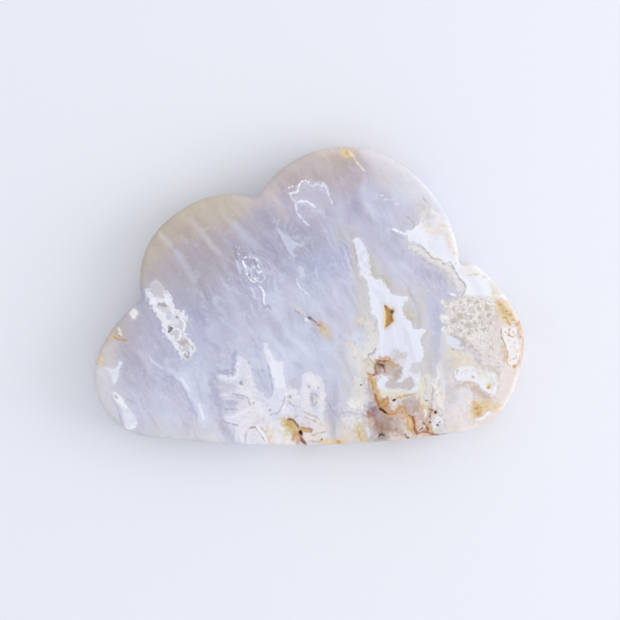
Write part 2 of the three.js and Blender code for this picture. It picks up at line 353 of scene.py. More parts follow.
def soft_streaks(lay):
    """The slanting pale and dark streaks that run down to the right through the translucent ground."""
    lay.cloud("mauve_brown", 0.3, 2, (-24.6, 11), (-20.6, 13), (-15.6, 13.4), (-15, 10.6), (-18, 6.6),
              (-22, 6.4))
    lay.haze("greige", 0.9, 0.6, 0.4, (-27.6, 11.6), (-25.2, 9.1))
    lay.haze("lavender", 0.85, 0.7, 0.45, (-24.6, 8.3), (-20.9, 2.8))
    lay.haze("slate", 0.4, 1.8, 1, (-19.4, 0.6), (-18, -2), (-17, -3.4))
    lay.haze("greige", 0.8, 0.7, 0.5, (-16.6, 16.2), (-15.6, 14.8), (-13, 12.4))
    lay.haze("lavender", 0.85, 0.8, 0.5, (-13.6, 13.2), (-9.6, 8.8))
    lay.haze("pale_periwinkle", 0.6, 0.9, 0.9, (-13.5, 12), (-9.3, 8.6), (-8, 6.5))
    lay.haze("greige", 0.95, 0.6, 0.4, (-21.6, 14.2), (-18, 9.4), (-16.6, 7.9))
    lay.haze("lavender", 0.6, 0.6, 0.5, (-17.3, 9), (-15, 6))
    lay.haze("mist", 0.5, 0.9, 0.8, (-15.7, 2.5), (-13.6, -1.8))
    lay.haze("rose", 0.75, 0.7, 0.5, (-8, 19), (-6.2, 17.7), (-5.2, 16.3), (-4.3, 14))
    lay.haze("dusk", 0.65, 0.8, 0.6, (-5.2, 20.2), (-4.1, 17.3), (-3, 16), (-2.6, 14))
    lay.haze("dusk", 0.5, 1.6, 0.9, (-9.5, 15.5), (-8, 14.2), (-6.8, 12.6))
    lay.haze("dusk", 0.5, 1.2, 0.9, (-14.3, 9.6), (-13.2, 8), (-12.9, 6.5))
    lay.haze("dusk", 0.4, 1.2, 1.1, (-22, 8.5), (-20.5, 7), (-19.4, 5.2))
    lay.haze("deep_violet", 0.35, 1.4, 1.2, (-7.5, 9.8), (-5.2, 6))
    lay.haze("violet", 0.6, 1.2, 0.8, (6.3, 21.5), (7.3, 17.5), (8.4, 15.5))
    lay.haze("dusk", 0.4, 1, 0.7, (8.6, 19.8), (8.8, 17.8), (9.6, 15.6), (11.3, 13.6))
    lay.haze("pale_ice", 0.6, 0.5, 0.5, (9.7, 20.7), (9.8, 18.2), (10.6, 15.4))
    lay.haze("plum", 0.55, 0.9, 0.6, (13.2, 13.2), (15.2, 11.6), (15.8, 10.3))
    lay.haze("plum", 0.4, 1.6, 1, (10.8, 13), (14.6, 9.2), (17, 7.6))
    lay.haze("pale_ice", 0.5, 0.7, 0.6, (12.3, 12.4), (16.6, 8))
    lay.haze("rose", 0.5, 1.2, 0.8, (12, 22.8), (13.3, 21.6), (14.2, 20))
    lay.haze("blush_white", 0.55, 2, 1, (8.6, 27.4), (13, 25.8), (17, 23.4), (20.4, 20.6), (22.6, 18))
    lay.cloud("ice", 0.5, 0.9, (-7.6, 0.4), (-6.2, 0.8), (-5, -1.4), (-5.6, -3.6), (-7, -2.6))
    lay.haze("blue", 0.5, 1.6, 1.3, (-21.5, -3), (-20, -6), (-17.5, -9))
    lay.haze("pale_periwinkle", 0.5, 0.9, 0.9, (-18.6, -3.4), (-17, -6.4), (-12.8, -11.5))
    lay.haze("mist", 0.55, 0.8, 0.7, (-13.2, -3.2), (-10, -8.2), (-8.6, -9.8))
    lay.haze("ice", 0.5, 0.7, 0.7, (-5.5, -4.4), (-4.2, -6.4), (-0.6, -10.2))
    lay.haze("ice", 0.5, 0.9, 0.8, (-7.6, -6), (-3.4, -12))
    lay.haze("periwinkle", 0.55, 0.9, 0.8, (-7.4, -3.4), (-5.8, -6.2), (-3.6, -9))
    lay.haze("periwinkle", 0.6, 1, 0.8, (-2.2, -12.4), (-0.8, -15))
    lay.haze("blue", 0.5, 1.4, 1, (-9.2, -14), (-8, -18.4))
    lay.haze("violet", 0.7, 1, 0.7, (4.6, -15), (4.8, -18), (4.3, -24))
    lay.haze("violet", 0.55, 0.5, 0.4, (3.1, -15.6), (3.1, -19.4))
    lay.haze("mist", 0.5, 0.8, 0.6, (6.2, -15.5), (6.4, -18), (6.1, -21))
    lay.haze("lilac", 0.5, 1.4, 1, (-24.8, -16.4), (-21.8, -23.6))
    lay.haze("blue", 0.5, 1.4, 1, (-29, -9.5), (-24.8, -17))
    lay.haze("lilac", 0.45, 1.4, 1.2, (-32.6, -9.6), (-30.2, -15), (-29.6, -18))
    lay.haze("pale_ice", 0.5, 1, 0.9, (-28.6, -18.6), (-26, -23.6))
    lay.haze("pale_ice", 0.5, 0.8, 0.8, (-18.6, -12.4), (-19.4, -14.6), (-19.2, -17.4))
    lay.haze("blue", 0.55, 1.6, 1, (23.2, -2.4), (23.6, -5), (23.4, -11))
    lay.haze("ice", 0.4, 0.5, 0.5, (21.9, -4), (21.9, -10.6), (22.6, -13))
    lay.haze("lilac", 0.55, 0.6, 0.5, (24.6, -11), (25.8, -18), (26.2, -22.3))
    lay.haze("pale_cream", 0.6, 0.6, 0.5, (23.9, -11.8), (25, -19))
    lay.haze("rose", 0.6, 0.9, 0.6, (26.8, -14.5), (27.2, -21.5), (27, -24.5))
    lay.haze("yellow_cream", 0.7, 0.7, 0.5, (20.6, -15), (20.4, -17), (20.8, -19))
    lay.haze("grey", 0.55, 0.35, 0.3, (21.6, -14.8), (21.8, -17), (21.5, -18.6))
    lay.haze("plum", 0.5, 0.8, 0.9, (18.5, 4.6), (20.5, 3.9), (23, 3.8), (25.4, 3.2))
    lay.haze("ice", 0.5, 0.5, 0.5, (16.4, 6.1), (18.7, 4.7), (20, 3))
    lay.haze("ice", 0.5, 0.7, 0.6, (15.2, 6), (15.8, 4.6), (18, 1.6))


def soft_clouds(lay):
    """Soft patches of colour in the ground."""
    lay.cloud("sage", 0.6, 0.7, (5, 12.6), (7, 13), (9, 12), (8.8, 10), (6.6, 9.4), (5, 10.6))
    lay.cloud("greige", 0.85, 0.9, (11, 7), (13, 5.6), (14.4, 3.4), (17, 1.6), (20.6, 0.6), (21.4, -4.4),
              (22.4, -8), (22.4, -14), (20.6, -14.6), (19.6, -6), (17, -4), (15, 0), (11.4, 3.6))
    lay.cloud("greige", 0.85, 0.8, (8, 9), (9.4, 8.6), (9.6, 4), (11.2, 2), (11.4, -3), (12.8, -6),
              (12.8, -10), (10.6, -10), (9.4, -6), (8.2, 4))
    lay.cloud("pale_grey", 0.6, 1.4, (6.6, -8), (9, -4), (12, -6), (12, -18), (10, -20), (6.6, -20),
              (6.2, -13))
    lay.cloud("tan", 0.55, 1.2, (2, 25.4), (5, 26), (8, 25.6), (7.6, 27.8), (2, 27.6))
    lay.cloud("mauve", 0.5, 1, (0, 22), (5, 22.4), (8, 21), (7, 18.6))
    lay.cloud("shell", 0.4, 2, (-4, 20.6), (-2, 23), (2, 24), (8, 23.6), (9, 22), (6, 21), (0, 21))
    lay.cloud("plum", 0.45, 1, (7, 16.6), (9, 16.8), (9.6, 14.2), (7.4, 14))
    lay.cloud("lavender", 0.5, 1.2, (16, 16.6), (19.6, 16.4), (20, 13.4), (17, 13))
    lay.cloud("dusk", 0.4, 1.2, (-14, 9.6), (-10, 9), (-8.6, 7.6), (-12, 7.6))
    lay.cloud("plum", 0.35, 1.4, (-19, -1), (-16, -1), (-15.6, -3.6), (-18.6, -3.6))


def broad_hazes(lay):
    """Broad soft streaks over the ground, most of them a darker violet."""
    lay.haze("dusk", 0.4, 3, 1.6, (-6.5, 11), (-6.8, 6))
    lay.haze("dusk", 0.35, 2.6, 1.4, (-3, 11.5), (-1.8, 8.6))
    lay.haze("mauve", 0.45, 2.4, 1.2, (-3.8, 18.4), (-2.8, 15.2))
    lay.haze("mauve_brown", 0.25, 3, 1.4, (0, 17), (3, 15.6))
    lay.haze("mauve_brown", 0.33, 2, 1, (-3.4, 20.4), (-2, 18.8))
    lay.haze("taupe", 0.5, 1.8, 0.9, (-2.4, 22.2), (0, 22))
    lay.haze("taupe", 0.45, 2.4, 1, (-21.6, 12.4), (-19.4, 13.4))
    lay.haze("mauve", 0.3, 2.6, 1.4, (9, 10.8), (11.6, 8.6))
    lay.haze("shell", 0.35, 2.6, 1.4, (17.6, 14.6), (19.8, 12.6))
    lay.haze("mauve", 0.5, 2.4, 1.2, (-32.8, -8.4), (-31.8, -10.8))
    lay.haze("dusk", 0.33, 2.2, 1.1, (-35.4, -11), (-34.6, -13))
    lay.haze("blush_white", 0.4, 1.8, 0.9, (0.4, 27.4), (7.4, 27.4))
    lay.haze("deep_violet", 0.38, 2.2, 1, (9.3, 17.6), (7.6, 14.2))
    lay.haze("deep_violet", 0.35, 2, 1, (-1.7, 14.9), (-1.4, 13.4))
    lay.haze("deep_violet", 0.35, 2.2, 1.1, (-14.4, 3), (-13.6, 1.4))
    lay.haze("dusk", 0.22, 2.4, 1.1, (13.2, 18.4), (14.2, 16.8))
    lay.haze("mauve", 0.35, 2.4, 1.1, (0.4, 16.6), (1.8, 15.6))
    lay.haze("pale_ice", 0.6, 0.5, 0.4, (10.2, 21.4), (10.1, 19.6), (11.2, 16.4), (12.6, 13.8), (14.6, 12))


def late_clouds(lay):
    """Soft patches laid over the broad hazes."""
    lay.cloud("mist", 0.5, 1.4, (-23, -5), (-18.6, -6), (-16.6, -9), (-20, -9))
    lay.cloud("grey", 0.5, 1, (0.2, -4.4), (3.4, -4.4), (4.4, -7.6), (1.6, -7.4))
    lay.cloud("mauve_brown", 0.28, 2, (-4.6, 20.4), (-2, 23.4), (3, 24.4), (8, 24), (9.6, 22), (6, 20.6))
    lay.cloud("lilac", 0.5, 1.6, (-4, 18), (0, 18), (1, 14.6), (-3, 14))
    lay.cloud("lilac", 0.5, 1.6, (-32, -8), (-28, -8), (-28, -12), (-32, -12))
    lay.cloud("mauve", 0.35, 1.4, (-33.6, -3.6), (-31, -3.6), (-30.6, -6.4), (-33, -6.8))
    lay.cloud("cream", 0.4, 1.2, (-38.4, -9.6), (-36.2, -9.6), (-35.8, -14), (-38.4, -14))
    lay.cloud("milk", 0.4, 1.4, (-17, -22), (-13.6, -22), (-13.4, -26.4), (-17, -26.4))
    lay.cloud("khaki", 0.5, 2, (-20, 15), (-14, 17), (-11.6, 15.6), (-17, 13.4))
    lay.cloud("mauve", 0.45, 1.2, (-29, 5.4), (-25, 5.6), (-24.8, 1.4), (-28, 2.4))
    lay.cloud("ice", 0.5, 1.2, (-1.4, 0.8), (1.4, 1), (2.4, -1.6), (0.2, -2.2))
    lay.cloud("mauve", 0.38, 1.8, (-24, 8), (-19, 10), (-14, 10), (-15, 5), (-20, 0), (-24, 1))
    lay.cloud("plum", 0.5, 1.2, (-34.4, -12), (-32, -12), (-31.6, -16), (-33.6, -16))
    lay.cloud("blush_white", 0.3, 1.2, (12, 24.4), (17.6, 21.6), (21, 17.4), (17, 19.4))
    lay.cloud("cream", 0.7, 0.9, (24.6, -7), (26.6, -7.4), (26.8, -11.4), (24.8, -11.6))
    lay.cloud("blush_white", 0.6, 1.4, (25.6, -15.6), (28, -17), (29.8, -19.4), (28.4, -23), (26, -22.6))
    lay.cloud("peach", 0.6, 0.9, (6.2, -24.2), (9.4, -24), (9.8, -27), (5.6, -27))
    lay.cloud("khaki", 0.55, 0.7, (-36.4, -5.4), (-34.4, -5.2), (-34.2, -7.4), (-36.2, -7.6))
    lay.cloud("pink_white", 0.8, 1, (-1.6, -22.6), (3, -23), (3, -27), (-2, -27))
    lay.cloud("honey", 0.5, 0.9, (-4.4, -24.4), (-2, -24), (0.5, -25), (-0.5, -27), (-3.6, -26.8))
    lay.cloud("straw", 0.5, 0.6, (2, -5.2), (3.6, -5.8), (3.8, -7.6), (2.8, -7))
    lay.cloud("pale_cream", 0.6, 1.2, (9, -8), (11.8, -8.4), (12.4, -13.5), (9.8, -14), (8.6, -11))
    lay.cloud("yellow_cream", 0.6, 0.8, (14, -18), (16.4, -18), (16.2, -19.4), (14, -19.2))
    lay.cloud("pink_white", 0.7, 1, (32, -21), (34.5, -20.6), (36.6, -18), (37.4, -15), (35.4, -15.4),
              (33.6, -19))
    lay.cloud("honey", 0.6, 0.8, (34.2, -0.6), (36, -1), (37.6, -3.2), (36.2, -4.6), (34.8, -3))
    lay.cloud("pink", 0.6, 0.8, (33.6, -4), (35.6, -4.6), (35.4, -6.8), (33.8, -6.4))
    lay.cloud("peach", 0.5, 0.6, (38.4, -4.6), (39.6, -5), (39.8, -10.4), (39, -10.6))
    lay.cloud("pink", 0.5, 1, (26.6, -10.8), (30.4, -10.6), (30, -13), (27, -13))
    lay.cloud("ochre", 0.45, 0.8, (10.6, -14.4), (12.4, -15), (12.8, -19), (11.6, -18), (10.8, -16.2))
    lay.cloud("ochre", 0.4, 1, (12.2, -22), (16, -21), (18.5, -22.5), (20, -25), (15, -25))


def upper_left_marks(lay):
    """Small crisp marks in the upper left lobe."""
    lay.fleck("ice", 1, 0.14, (-13.4, 8.95), (-12.8, 8.85), (-12.9, 7.65), (-12.2, 7.3), (-11.4, 7.15),
              (-10.6, 7.3), (-13.9, 8.2), (-12.1, 8.3), (-11, 7.7))


def top_lobe_marks(lay):
    """The ring, the cream streak from the gold patch and the pale stripe in the top lobe."""
    lay.blob("honey", 0.7, (0.9, 0.7), (7.2, 26.1))
    lay.fleck("gold", 0.6, (0.35, 0.3), (7.0, 26.3))
    lay.stain("honey", 0.7, 1.4, (5.9, 26.8), (7.2, 26.2))
    lay.vein("pale_cream", 0.6, 0.34, (7.5, 26.6), (10.3, 22.7))
    lay.vein("milk", 0.9, 0.34, (-3.7, 18.8), (-2.6, 17.5), (-2.2, 15.5), (-1.6, 14.4), (-1, 14.2))
    lay.vein("white", 0.9, 0.3, (-3.7, 18.8), (-2.2, 19.2), (-1.5, 20.8))
    lay.fleck("white", 1, 0.2, (-1.4, 21), (-1.1, 21), (-0.6, 21.2), (-3.1, 20.1), (-3.7, 19.9), (-0.1, 21))
    lay.vein("milk", 0.85, 0.3, (-0.4, 20.7), (1, 20.3), (1.5, 20.6), (2.3, 20.2), (2.7, 20.7), (3.8, 18.5),
             (4.3, 16.3))
    lay.vein("white", 0.9, 0.36, (-2, 17.2), (-0.4, 17.35), (1.3, 16.3))
    lay.stain("lavender", 0.6, None, (-3, 18.4), (-1.6, 20), (1, 20.2), (3.4, 19.4), (3.6, 16.4), (1.6, 15),
              (-1, 14.6))
    lay.stain("pale_ice", 0.6, 0.6, (-2.6, 19.4), (-1.4, 20.6), (0.4, 20.6), (2.4, 20.2), (3.6, 18.6))
    lay.stain("pale_ice", 0.6, 0.6, (-2.6, 17.6), (0.6, 16.6), (3, 14.6))
    lay.blob("slate", 0.75, (0.6, 0.7), (-0.9, 15.7))
    lay.blob("mauve_brown", 0.35, (0.8, 0.6), (-1.7, 20.6))
    lay.vein("white", 1, 0.4, (15, 12.5), (18.1, 11.1))
    lay.vein("mid_grey", 0.6, 0.3, (15, 11.9), (17.5, 10.6))
    lay.spot("milk", 0.7, (0.3, 0.2), (12.6, 18.7), (13.5, 18.5), (14.1, 17.8), (14.9, 17.7), (15.5, 17.9),
             (16.5, 17))
    lay.vein("mid_grey", 0.6, 0.3, (18, 14.6), (18.9, 13.9), (19.4, 13), (18.8, 12.4))
    lay.vein("mid_grey", 0.6, 0.28, (20.8, 18.6), (21.4, 17.3), (22, 16.9))


def centre_top_marks(lay):
    """The pale leaf and the thin dark bands on the river's left bank."""
    lay.patch("ice", 0.55, (-5.8, 12.3), (-2.2, 9.7), (-2.1, 9.2), (-2.6, 8.8), (-2.8, 8), (-2.7, 7.1),
              (-4, 8.6))
    lay.vein("dusk", 0.5, 0.3, (-6.3, 12.5), (-4.3, 8.6), (-3.2, 7.2))
    lay.vein("dusk", 0.5, 0.28, (-6, 12.8), (-5, 12.6), (-2.6, 10.4))
    lay.vein("white", 0.8, 0.28, (-1.3, 14), (0, 13.1))
    lay.patch("ice", 0.7, (-2.1, 5.2), (-1.4, 5.3), (-0.5, 3.4), (-1.9, 4.3))
    lay.vein("milk", 0.75, 0.34, (-2.3, 3.1), (-1.8, 1.7), (0, 0.3))
    lay.vein("ice", 0.55, 0.4, (1.3, 5.8), (1.3, 4), (1.8, 2.8))
    lay.vein("slate", 0.55, 0.28, (5.2, 10.1), (6.8, 9), (8.2, 4.6))
    lay.vein("slate", 0.5, 0.26, (5.2, 8.9), (6.3, 8.4), (6.3, 7.1), (7.5, 4.3))
    lay.vein("ice", 0.55, 0.3, (6.7, 8.4), (7.8, 4.5))
    lay.vein("taupe", 0.8, 0.3, (8, 10), (8.9, 5.9))
    lay.vein("ice", 0.4, 0.34, (2.8, 12.6), (3.6, 10.2), (4.4, 9))


def white_river(lay):
    """The white river through the middle, the white field below it and their edges."""
    lay.area("river_white", 1, (8.2, 10.4), (8.9, 8), (9.5, 4.1), (10.6, 2.8), (11.3, -1), (11.3, -2.9),
             (12.3, -3.7), (12.7, -5.5), (13, -7.4), (12.3, -10), (12.1, -12.4), (12.7, -15), (12.6, -16.2),
             (13.2, -17.6), (15.2, -18), (20, -17.4), (20.5, -14.6), (20.2, -12.4), (21.2, -10.8), (20.4, -8),
             (21.3, -6.2), (19.4, -5.8), (18.8, -4.8), (17.8, -4), (17.3, -2.8), (17.5, -1.6), (18.2, -0.2),
             (16, 0), (14.9, 0.7), (13.5, 3.1), (12.2, 3.2), (11.4, 4.4), (11, 7.2), (9.4, 10.3))
    lay.stain("milk", 0.9, 1.6, (8.9, 9.8), (9.8, 7.6), (10.3, 5))
    lay.stain("olive", 0.5, 0.4, (11.2, 7.2), (11.8, 4), (13.4, 3.3), (14.3, 2.4), (15, 0.9), blur=0.25)
    lay.stain("greige", 0.6, 1, (18.2, -1), (18, -2.6), (18.8, -3.8), (20, -4.8))
    lay.stain("straw", 0.5, 0.8, (17.9, -3), (18.4, -3.8), (19.4, -4))
    lay.patch("sage", 0.55, (8.2, 8), (8.8, 7.6), (9.1, 3.8), (9.9, 2.8), (9.4, 2.6), (8.5, 3.6))
    lay.vein("mid_grey", 0.6, 0.26, (17.4, -4.2), (18.8, -4.3), (19.4, -5.9), (20.8, -5.9))
    lay.vein("mauve_brown", 0.6, 0.28, (12.5, -4.1), (12.1, -6.6))
    lay.stain("cream", 0.7, 1, (10.8, -4.6), (11.6, -6.4), (12, -8.4), (11.4, -10.4))
    lay.stain("yellow_cream", 0.8, 1, (9, -4.3), (9.7, -4.9), blur=0.3)
    lay.stain("cream", 0.6, 0.8, (9.6, -8.6), (10.4, -10.4), (9.4, -12.6), (10.2, -14.6))
    lay.stain("yellow_cream", 0.5, 0.6, (7.2, -8.8), (8.2, -9.8), (8.9, -11.2))
    lay.band("mist", 0.25, 1, (17.6, -6.2), (19.4, -12))


def right_white_marks(lay):
    """The white field of the right shoulder, its scalloped dark edge and its cream loops."""
    lay.area("white", 1, (18.1, 11.2), (18, 11.7), (19.5, 12.5), (20.4, 13.6), (20.8, 15.4), (22.6, 16),
             (25, 14), (27, 10.4), (34, 5.4), (36.6, 1.6), (36.4, -0.4), (34.4, -0.2), (33.4, 0.4),
             (32, -0.6), (30, 0), (28.4, -0.2), (28.2, 0.2), (28.7, 1.1), (28.6, 2.3), (27.4, 3.5),
             (26.1, 6.1), (25.7, 6.3), (24.9, 5.8), (24, 6.7), (22.9, 6.9), (20.9, 8.9), (18.3, 10.1))
    lay.vein("mauve_brown", 0.7, 0.24, (19, 10), (20.9, 8.9), (22.9, 6.9), (24, 6.7), (24.9, 5.8),
             (25.7, 6.3), (26.1, 6.1), (27.4, 3.5), (28.6, 2.3), (28.7, 1.1), (28, -0.2))
    lay.stain("pale_grey", 0.6, 1.5, (17.6, 9.6), (19.4, 8.6), (22.2, 6.4), (25.2, 4.9), (27, 2), (27, 0.6),
              blur=0.6)
    lay.vein("cream", 0.85, 0.3, (21.2, 7.6), (21.8, 6.9), (22.6, 6.8), (23, 6.2), (23.9, 6.2), (24.3, 5.5),
             (25.2, 5.2), (25.9, 5.4), (26.9, 3.1), (27.6, 2.6), (27.9, 1.6))
    lay.stain("pale_cream", 0.6, 0.6, (18.6, 9.4), (25.4, 5.2), (27.2, 2.6), (27.6, 1.2))
    lay.vein("taupe", 0.6, 0.2, (20.4, 7.4), (22.2, 5.8), (25.6, 4.3), (26.3, 3), (26.6, 1.6))
    lay.patch("pale_grey", 0.6, (18.3, 9.8), (19.2, 9.6), (21.2, 8), (20.6, 7.5), (19, 7.8), (18.2, 8.6))
    lay.stain("peach", 0.6, 0.7, (21, 13.4), (22, 12.2), (23.2, 11.5), (24.3, 12), (24.6, 13.2), blur=0.5)
    lay.stain("pink_white", 0.5, None, (20, 17.2), (22, 16.4), (24, 14.6), (24.2, 12.6), (22.6, 12.4),
              (20.2, 15.6), blur=0.7)
    lay.stain("greige", 0.45, 1.8, (20.4, 17.4), (21.8, 13.8), blur=0.8)
    lay.stain("cream", 0.6, 1, (24.6, 14), (26.2, 10), (27.4, 7.6), (28.4, 6.4))
    lay.stain("peach", 0.5, 0.5, (25.4, 11), (25.8, 9.4), (27.6, 6.6))
    lay.patch("pale_cream", 0.9, (28.5, 6), (28.6, 4.5), (29, 4), (31.5, 4.2), (29, 6.9))
    lay.vein("tan", 0.6, 0.24, (28.8, 3.8), (31.5, 4.1))
    lay.patch("cream", 0.9, (33, 2.8), (33.8, 0.8), (34.5, 0.2), (36, 0.5), (36, 1.5), (34.5, 3))
    lay.spot("peach", 0.8, (0.5, 0.4), (33.9, 0.6), (32.4, 3.6))
    lay.vein("white", 0.85, 0.34, (25.5, 0.9), (26.2, 0.3), (27.1, 0.2))
    lay.patch("greige", 0.45, (25.5, 4.4), (26.4, 4.2), (26.8, 2.8), (26.4, 1.2), (25.6, 1.6))


def crystal_pocket_marks_and_glints(lay):
    """Painted glints on the pocket's crystal edges and rim, painted shade in the gaps between the crystals
    and beside the glints, and the wiggly white line that leaves it, painted as the highlight of a low ridge.
    """
    lay.patch("periwinkle", 0.4, (-12.3, 6.6), (-11, 6.9), (-9.8, 6.6), (-9.1, 5.6), (-9, 4.4), (-9.8, 3.5),
              (-10.8, 3), (-11.8, 3.2))
    # Painted shade: a dark line along the pocket's left rim, beside the glints.
    lay.vein("deep_violet", 0.8, 0.3, (-12.6, 8), (-12, 4.1))
    lay.vein("ice", 0.7, 0.3, (-13.4, 6.5), (-12.5, 4.1))
    # Painted glints: white dashes and flecks on the crystal edges.
    lay.dash("white", 1, 0.36, (-12.3, 6.6), (-11.5, 5))
    lay.dash("white", 1, 0.4, (-9.5, 5.9), (-9.1, 5))
    lay.dash("white", 1, 0.34, (-9.8, 4.85), (-9.1, 4.1))
    lay.fleck("white", 1, 0.22, (-8.8, 4.5), (-10.3, 5.5), (-11.3, 4), (-9.9, 3.2))
    # Painted shade in the gaps between the crystals.
    lay.fleck("dusk", 1, (0.26, 0.18), (-11.6, 6.75), (-12.1, 7.3), (-11, 3.8), (-10.2, 6.75))
    lay.vein("milk", 0.85, 0.28, (-10.1, 7.1), (-9.2, 6.5), (-8.6, 5.6))
    # Painted highlight along a low ridge, with a painted shade line beside it.
    lay.vein("white", 0.95, 0.34, (-9.2, 2), (-8.1, 0.3), (-8.35, -0.9), (-8.1, -1.8))
    lay.dash("dusk", 0.7, 0.22, (-9.6, 1.7), (-8.6, 0.2), (-8.8, -1.5))
    lay.vein("mauve_brown", 0.7, 0.32, (-8.5, -2.2), (-7.4, -1.8), (-6.9, -2.7))
    # Painted glints along the pocket's upper rim.
    lay.fleck("white", 1, 0.15, (-12.9, 7.7), (-12.3, 7.2), (-11.7, 7.1), (-10.8, 7.15), (-10.2, 7.1),
              (-9.5, 6.5))
    lay.stain("pale_ice", 0.55, 1.5, (-11, 5.2), (-10.5, 3.8))
    lay.stain("pale_ice", 0.6, 0.9, (-8.5, 4.9), (-6.8, 4))
    lay.vein("ice", 0.6, 0.22, (-7.3, 3.3), (-7.5, 1.7), (-6.8, 0.5), (-6.2, 1), (-6.2, 2.9), (-6.9, 3.6))
    # Painted glints on crystal edges and along the pocket's lower rim.
    lay.dash("ice", 1, 0.26, (-11.6, 4.6), (-11, 4.9), (-10.4, 4.4), (-10.6, 3.6), (-10, 3.2))
    lay.dash("ice", 1, 0.26, (-12, 5.4), (-11.4, 5.5), (-10.9, 5), (-10.2, 5.2), (-9.8, 5.7))
    lay.dash("white", 1, 0.26, (-11.4, 3.4), (-10, 2.6), (-9.2, 3.5))
    lay.dash("ice", 1, 0.26, (-9.4, 2.9), (-9, 2.4), (-8.5, 2.7), (-8.1, 3.3), (-8.4, 4))
    lay.patch("periwinkle", 0.5, (-8.6, 4.4), (-7.2, 4.6), (-6.2, 3.6), (-6.2, 1.4), (-7.2, 0.6), (-8, 2))
    lay.dash("milk", 0.7, 0.26, (-10.8, 1.9), (-9.7, -0.6))
    lay.blob("blue", 0.7, (0.4, 1.1), (-6.8, 2.1))


def left_plume(lay):
    """The white plume on the left, with its grey windows, brown patches and the ring at its foot."""
    lay.patch("pale_grey", 0.93, (-29.8, 1.2), (-29.3, 1.4), (-29.2, 2.2), (-27.8, 3), (-26.5, 1.2),
              (-25.7, 0.6), (-24.6, -2.9), (-22.9, -3), (-22.8, -4.2), (-21.7, -4.6), (-22.9, -5),
              (-22.6, -7.8), (-21.2, -9), (-21.5, -11.2), (-21.9, -11.6), (-23.1, -11.7), (-23.6, -10.2),
              (-24.5, -8.8), (-26.3, -7.1), (-27, -3.9), (-28.6, -2.2), (-28.9, -0.9), (-29.5, -0.7),
              (-29.3, 0.6))
    lay.band("mist", 0.7, 1.2, (-29, 1.4), (-28, 0.6), (-26.8, -1.2))
    lay.band("mist", 0.6, 0.9, (-26.6, -2.6), (-24.8, -5))
    lay.stain("lilac", 0.35, 1.6, (-29.2, 1.6), (-28, 1), (-27, -0.4))
    lay.stain("rose", 0.4, 1.2, (-28.4, 2), (-27.6, 1))
    lay.stain("white", 0.75, 0.9, (-29.6, 1), (-29.1, -0.5), (-26.4, -5.4), (-26.1, -7), (-24.7, -8.6),
              (-23, -11.4), blur=0.25)
    lay.stain("white", 0.75, 0.8, (-26.5, 0.6), (-25.6, -0.8), (-24.9, -2.8), (-23.4, -3.2), (-22.4, -4.4),
              blur=0.25)
    lay.vein("white", 0.9, 0.4, (-24, -3.8), (-22.9, -4.8), (-23, -6.4))
    lay.stain("white", 0.7, 0.6, (-23.4, -6.4), (-21.5, -9), (-21.7, -10.8), blur=0.25)
    lay.stain("white", 0.75, 0.9, (-28.8, -0.5), (-26, -0.9), blur=0.25)
    lay.stain("white", 0.7, 0.6, (-26.5, -4.8), (-25, -4.9), (-23.8, -4.6), blur=0.25)
    lay.vein("white", 1, 0.3, (-25.3, -6.3), (-24.3, -6), (-23.6, -7), (-24, -8.2))
    lay.stain("milk", 0.6, 1.2, (-26.6, -3), (-24.2, -5.2))
    lay.vein("mauve_brown", 0.75, 0.6, (-27.8, -1.5), (-26.1, -1.8))
    lay.vein("warm_white", 0.8, 0.3, (-28.2, -2), (-27.4, -3), (-26.6, -3.4), (-26.2, -4.4), (-25.4, -5.2))
    lay.vein("warm_white", 0.9, 0.26, (-26.2, -0.9), (-24.9, -3.3))
    lay.spot("mist", 0.7, (0.55, 0.8), (-25.7, -3.6))
    # Painted shade: the dark grey dash in the plume's pit.
    lay.dash("dark_grey", 1, 0.34, (-25.9, -5.7), (-25.1, -5.9), (-25.9, -6.6))
    lay.vein("olive", 0.9, 0.36, (-22.9, -8.1), (-21.4, -9.4), (-21.5, -9.9))
    lay.spot("taupe", 0.8, (0.5, 0.45), (-23.4, -8.6))
    lay.dash("dark_grey", 0.8, 0.26, (-22.35, -10.35), (-21.95, -10.6), (-22, -11.1), (-22.5, -11.2),
             (-22.8, -10.8), (-22.65, -10.45))
    lay.vein("slate", 0.4, 0.4, (-26.1, 1.3), (-25.4, 0.6), (-24.5, -1.7))
    lay.vein("dusk", 0.35, 0.4, (-29.9, -1.1), (-27.4, -4.8), (-27.2, -6.6), (-24.3, -10.2), (-23.7, -11.6))


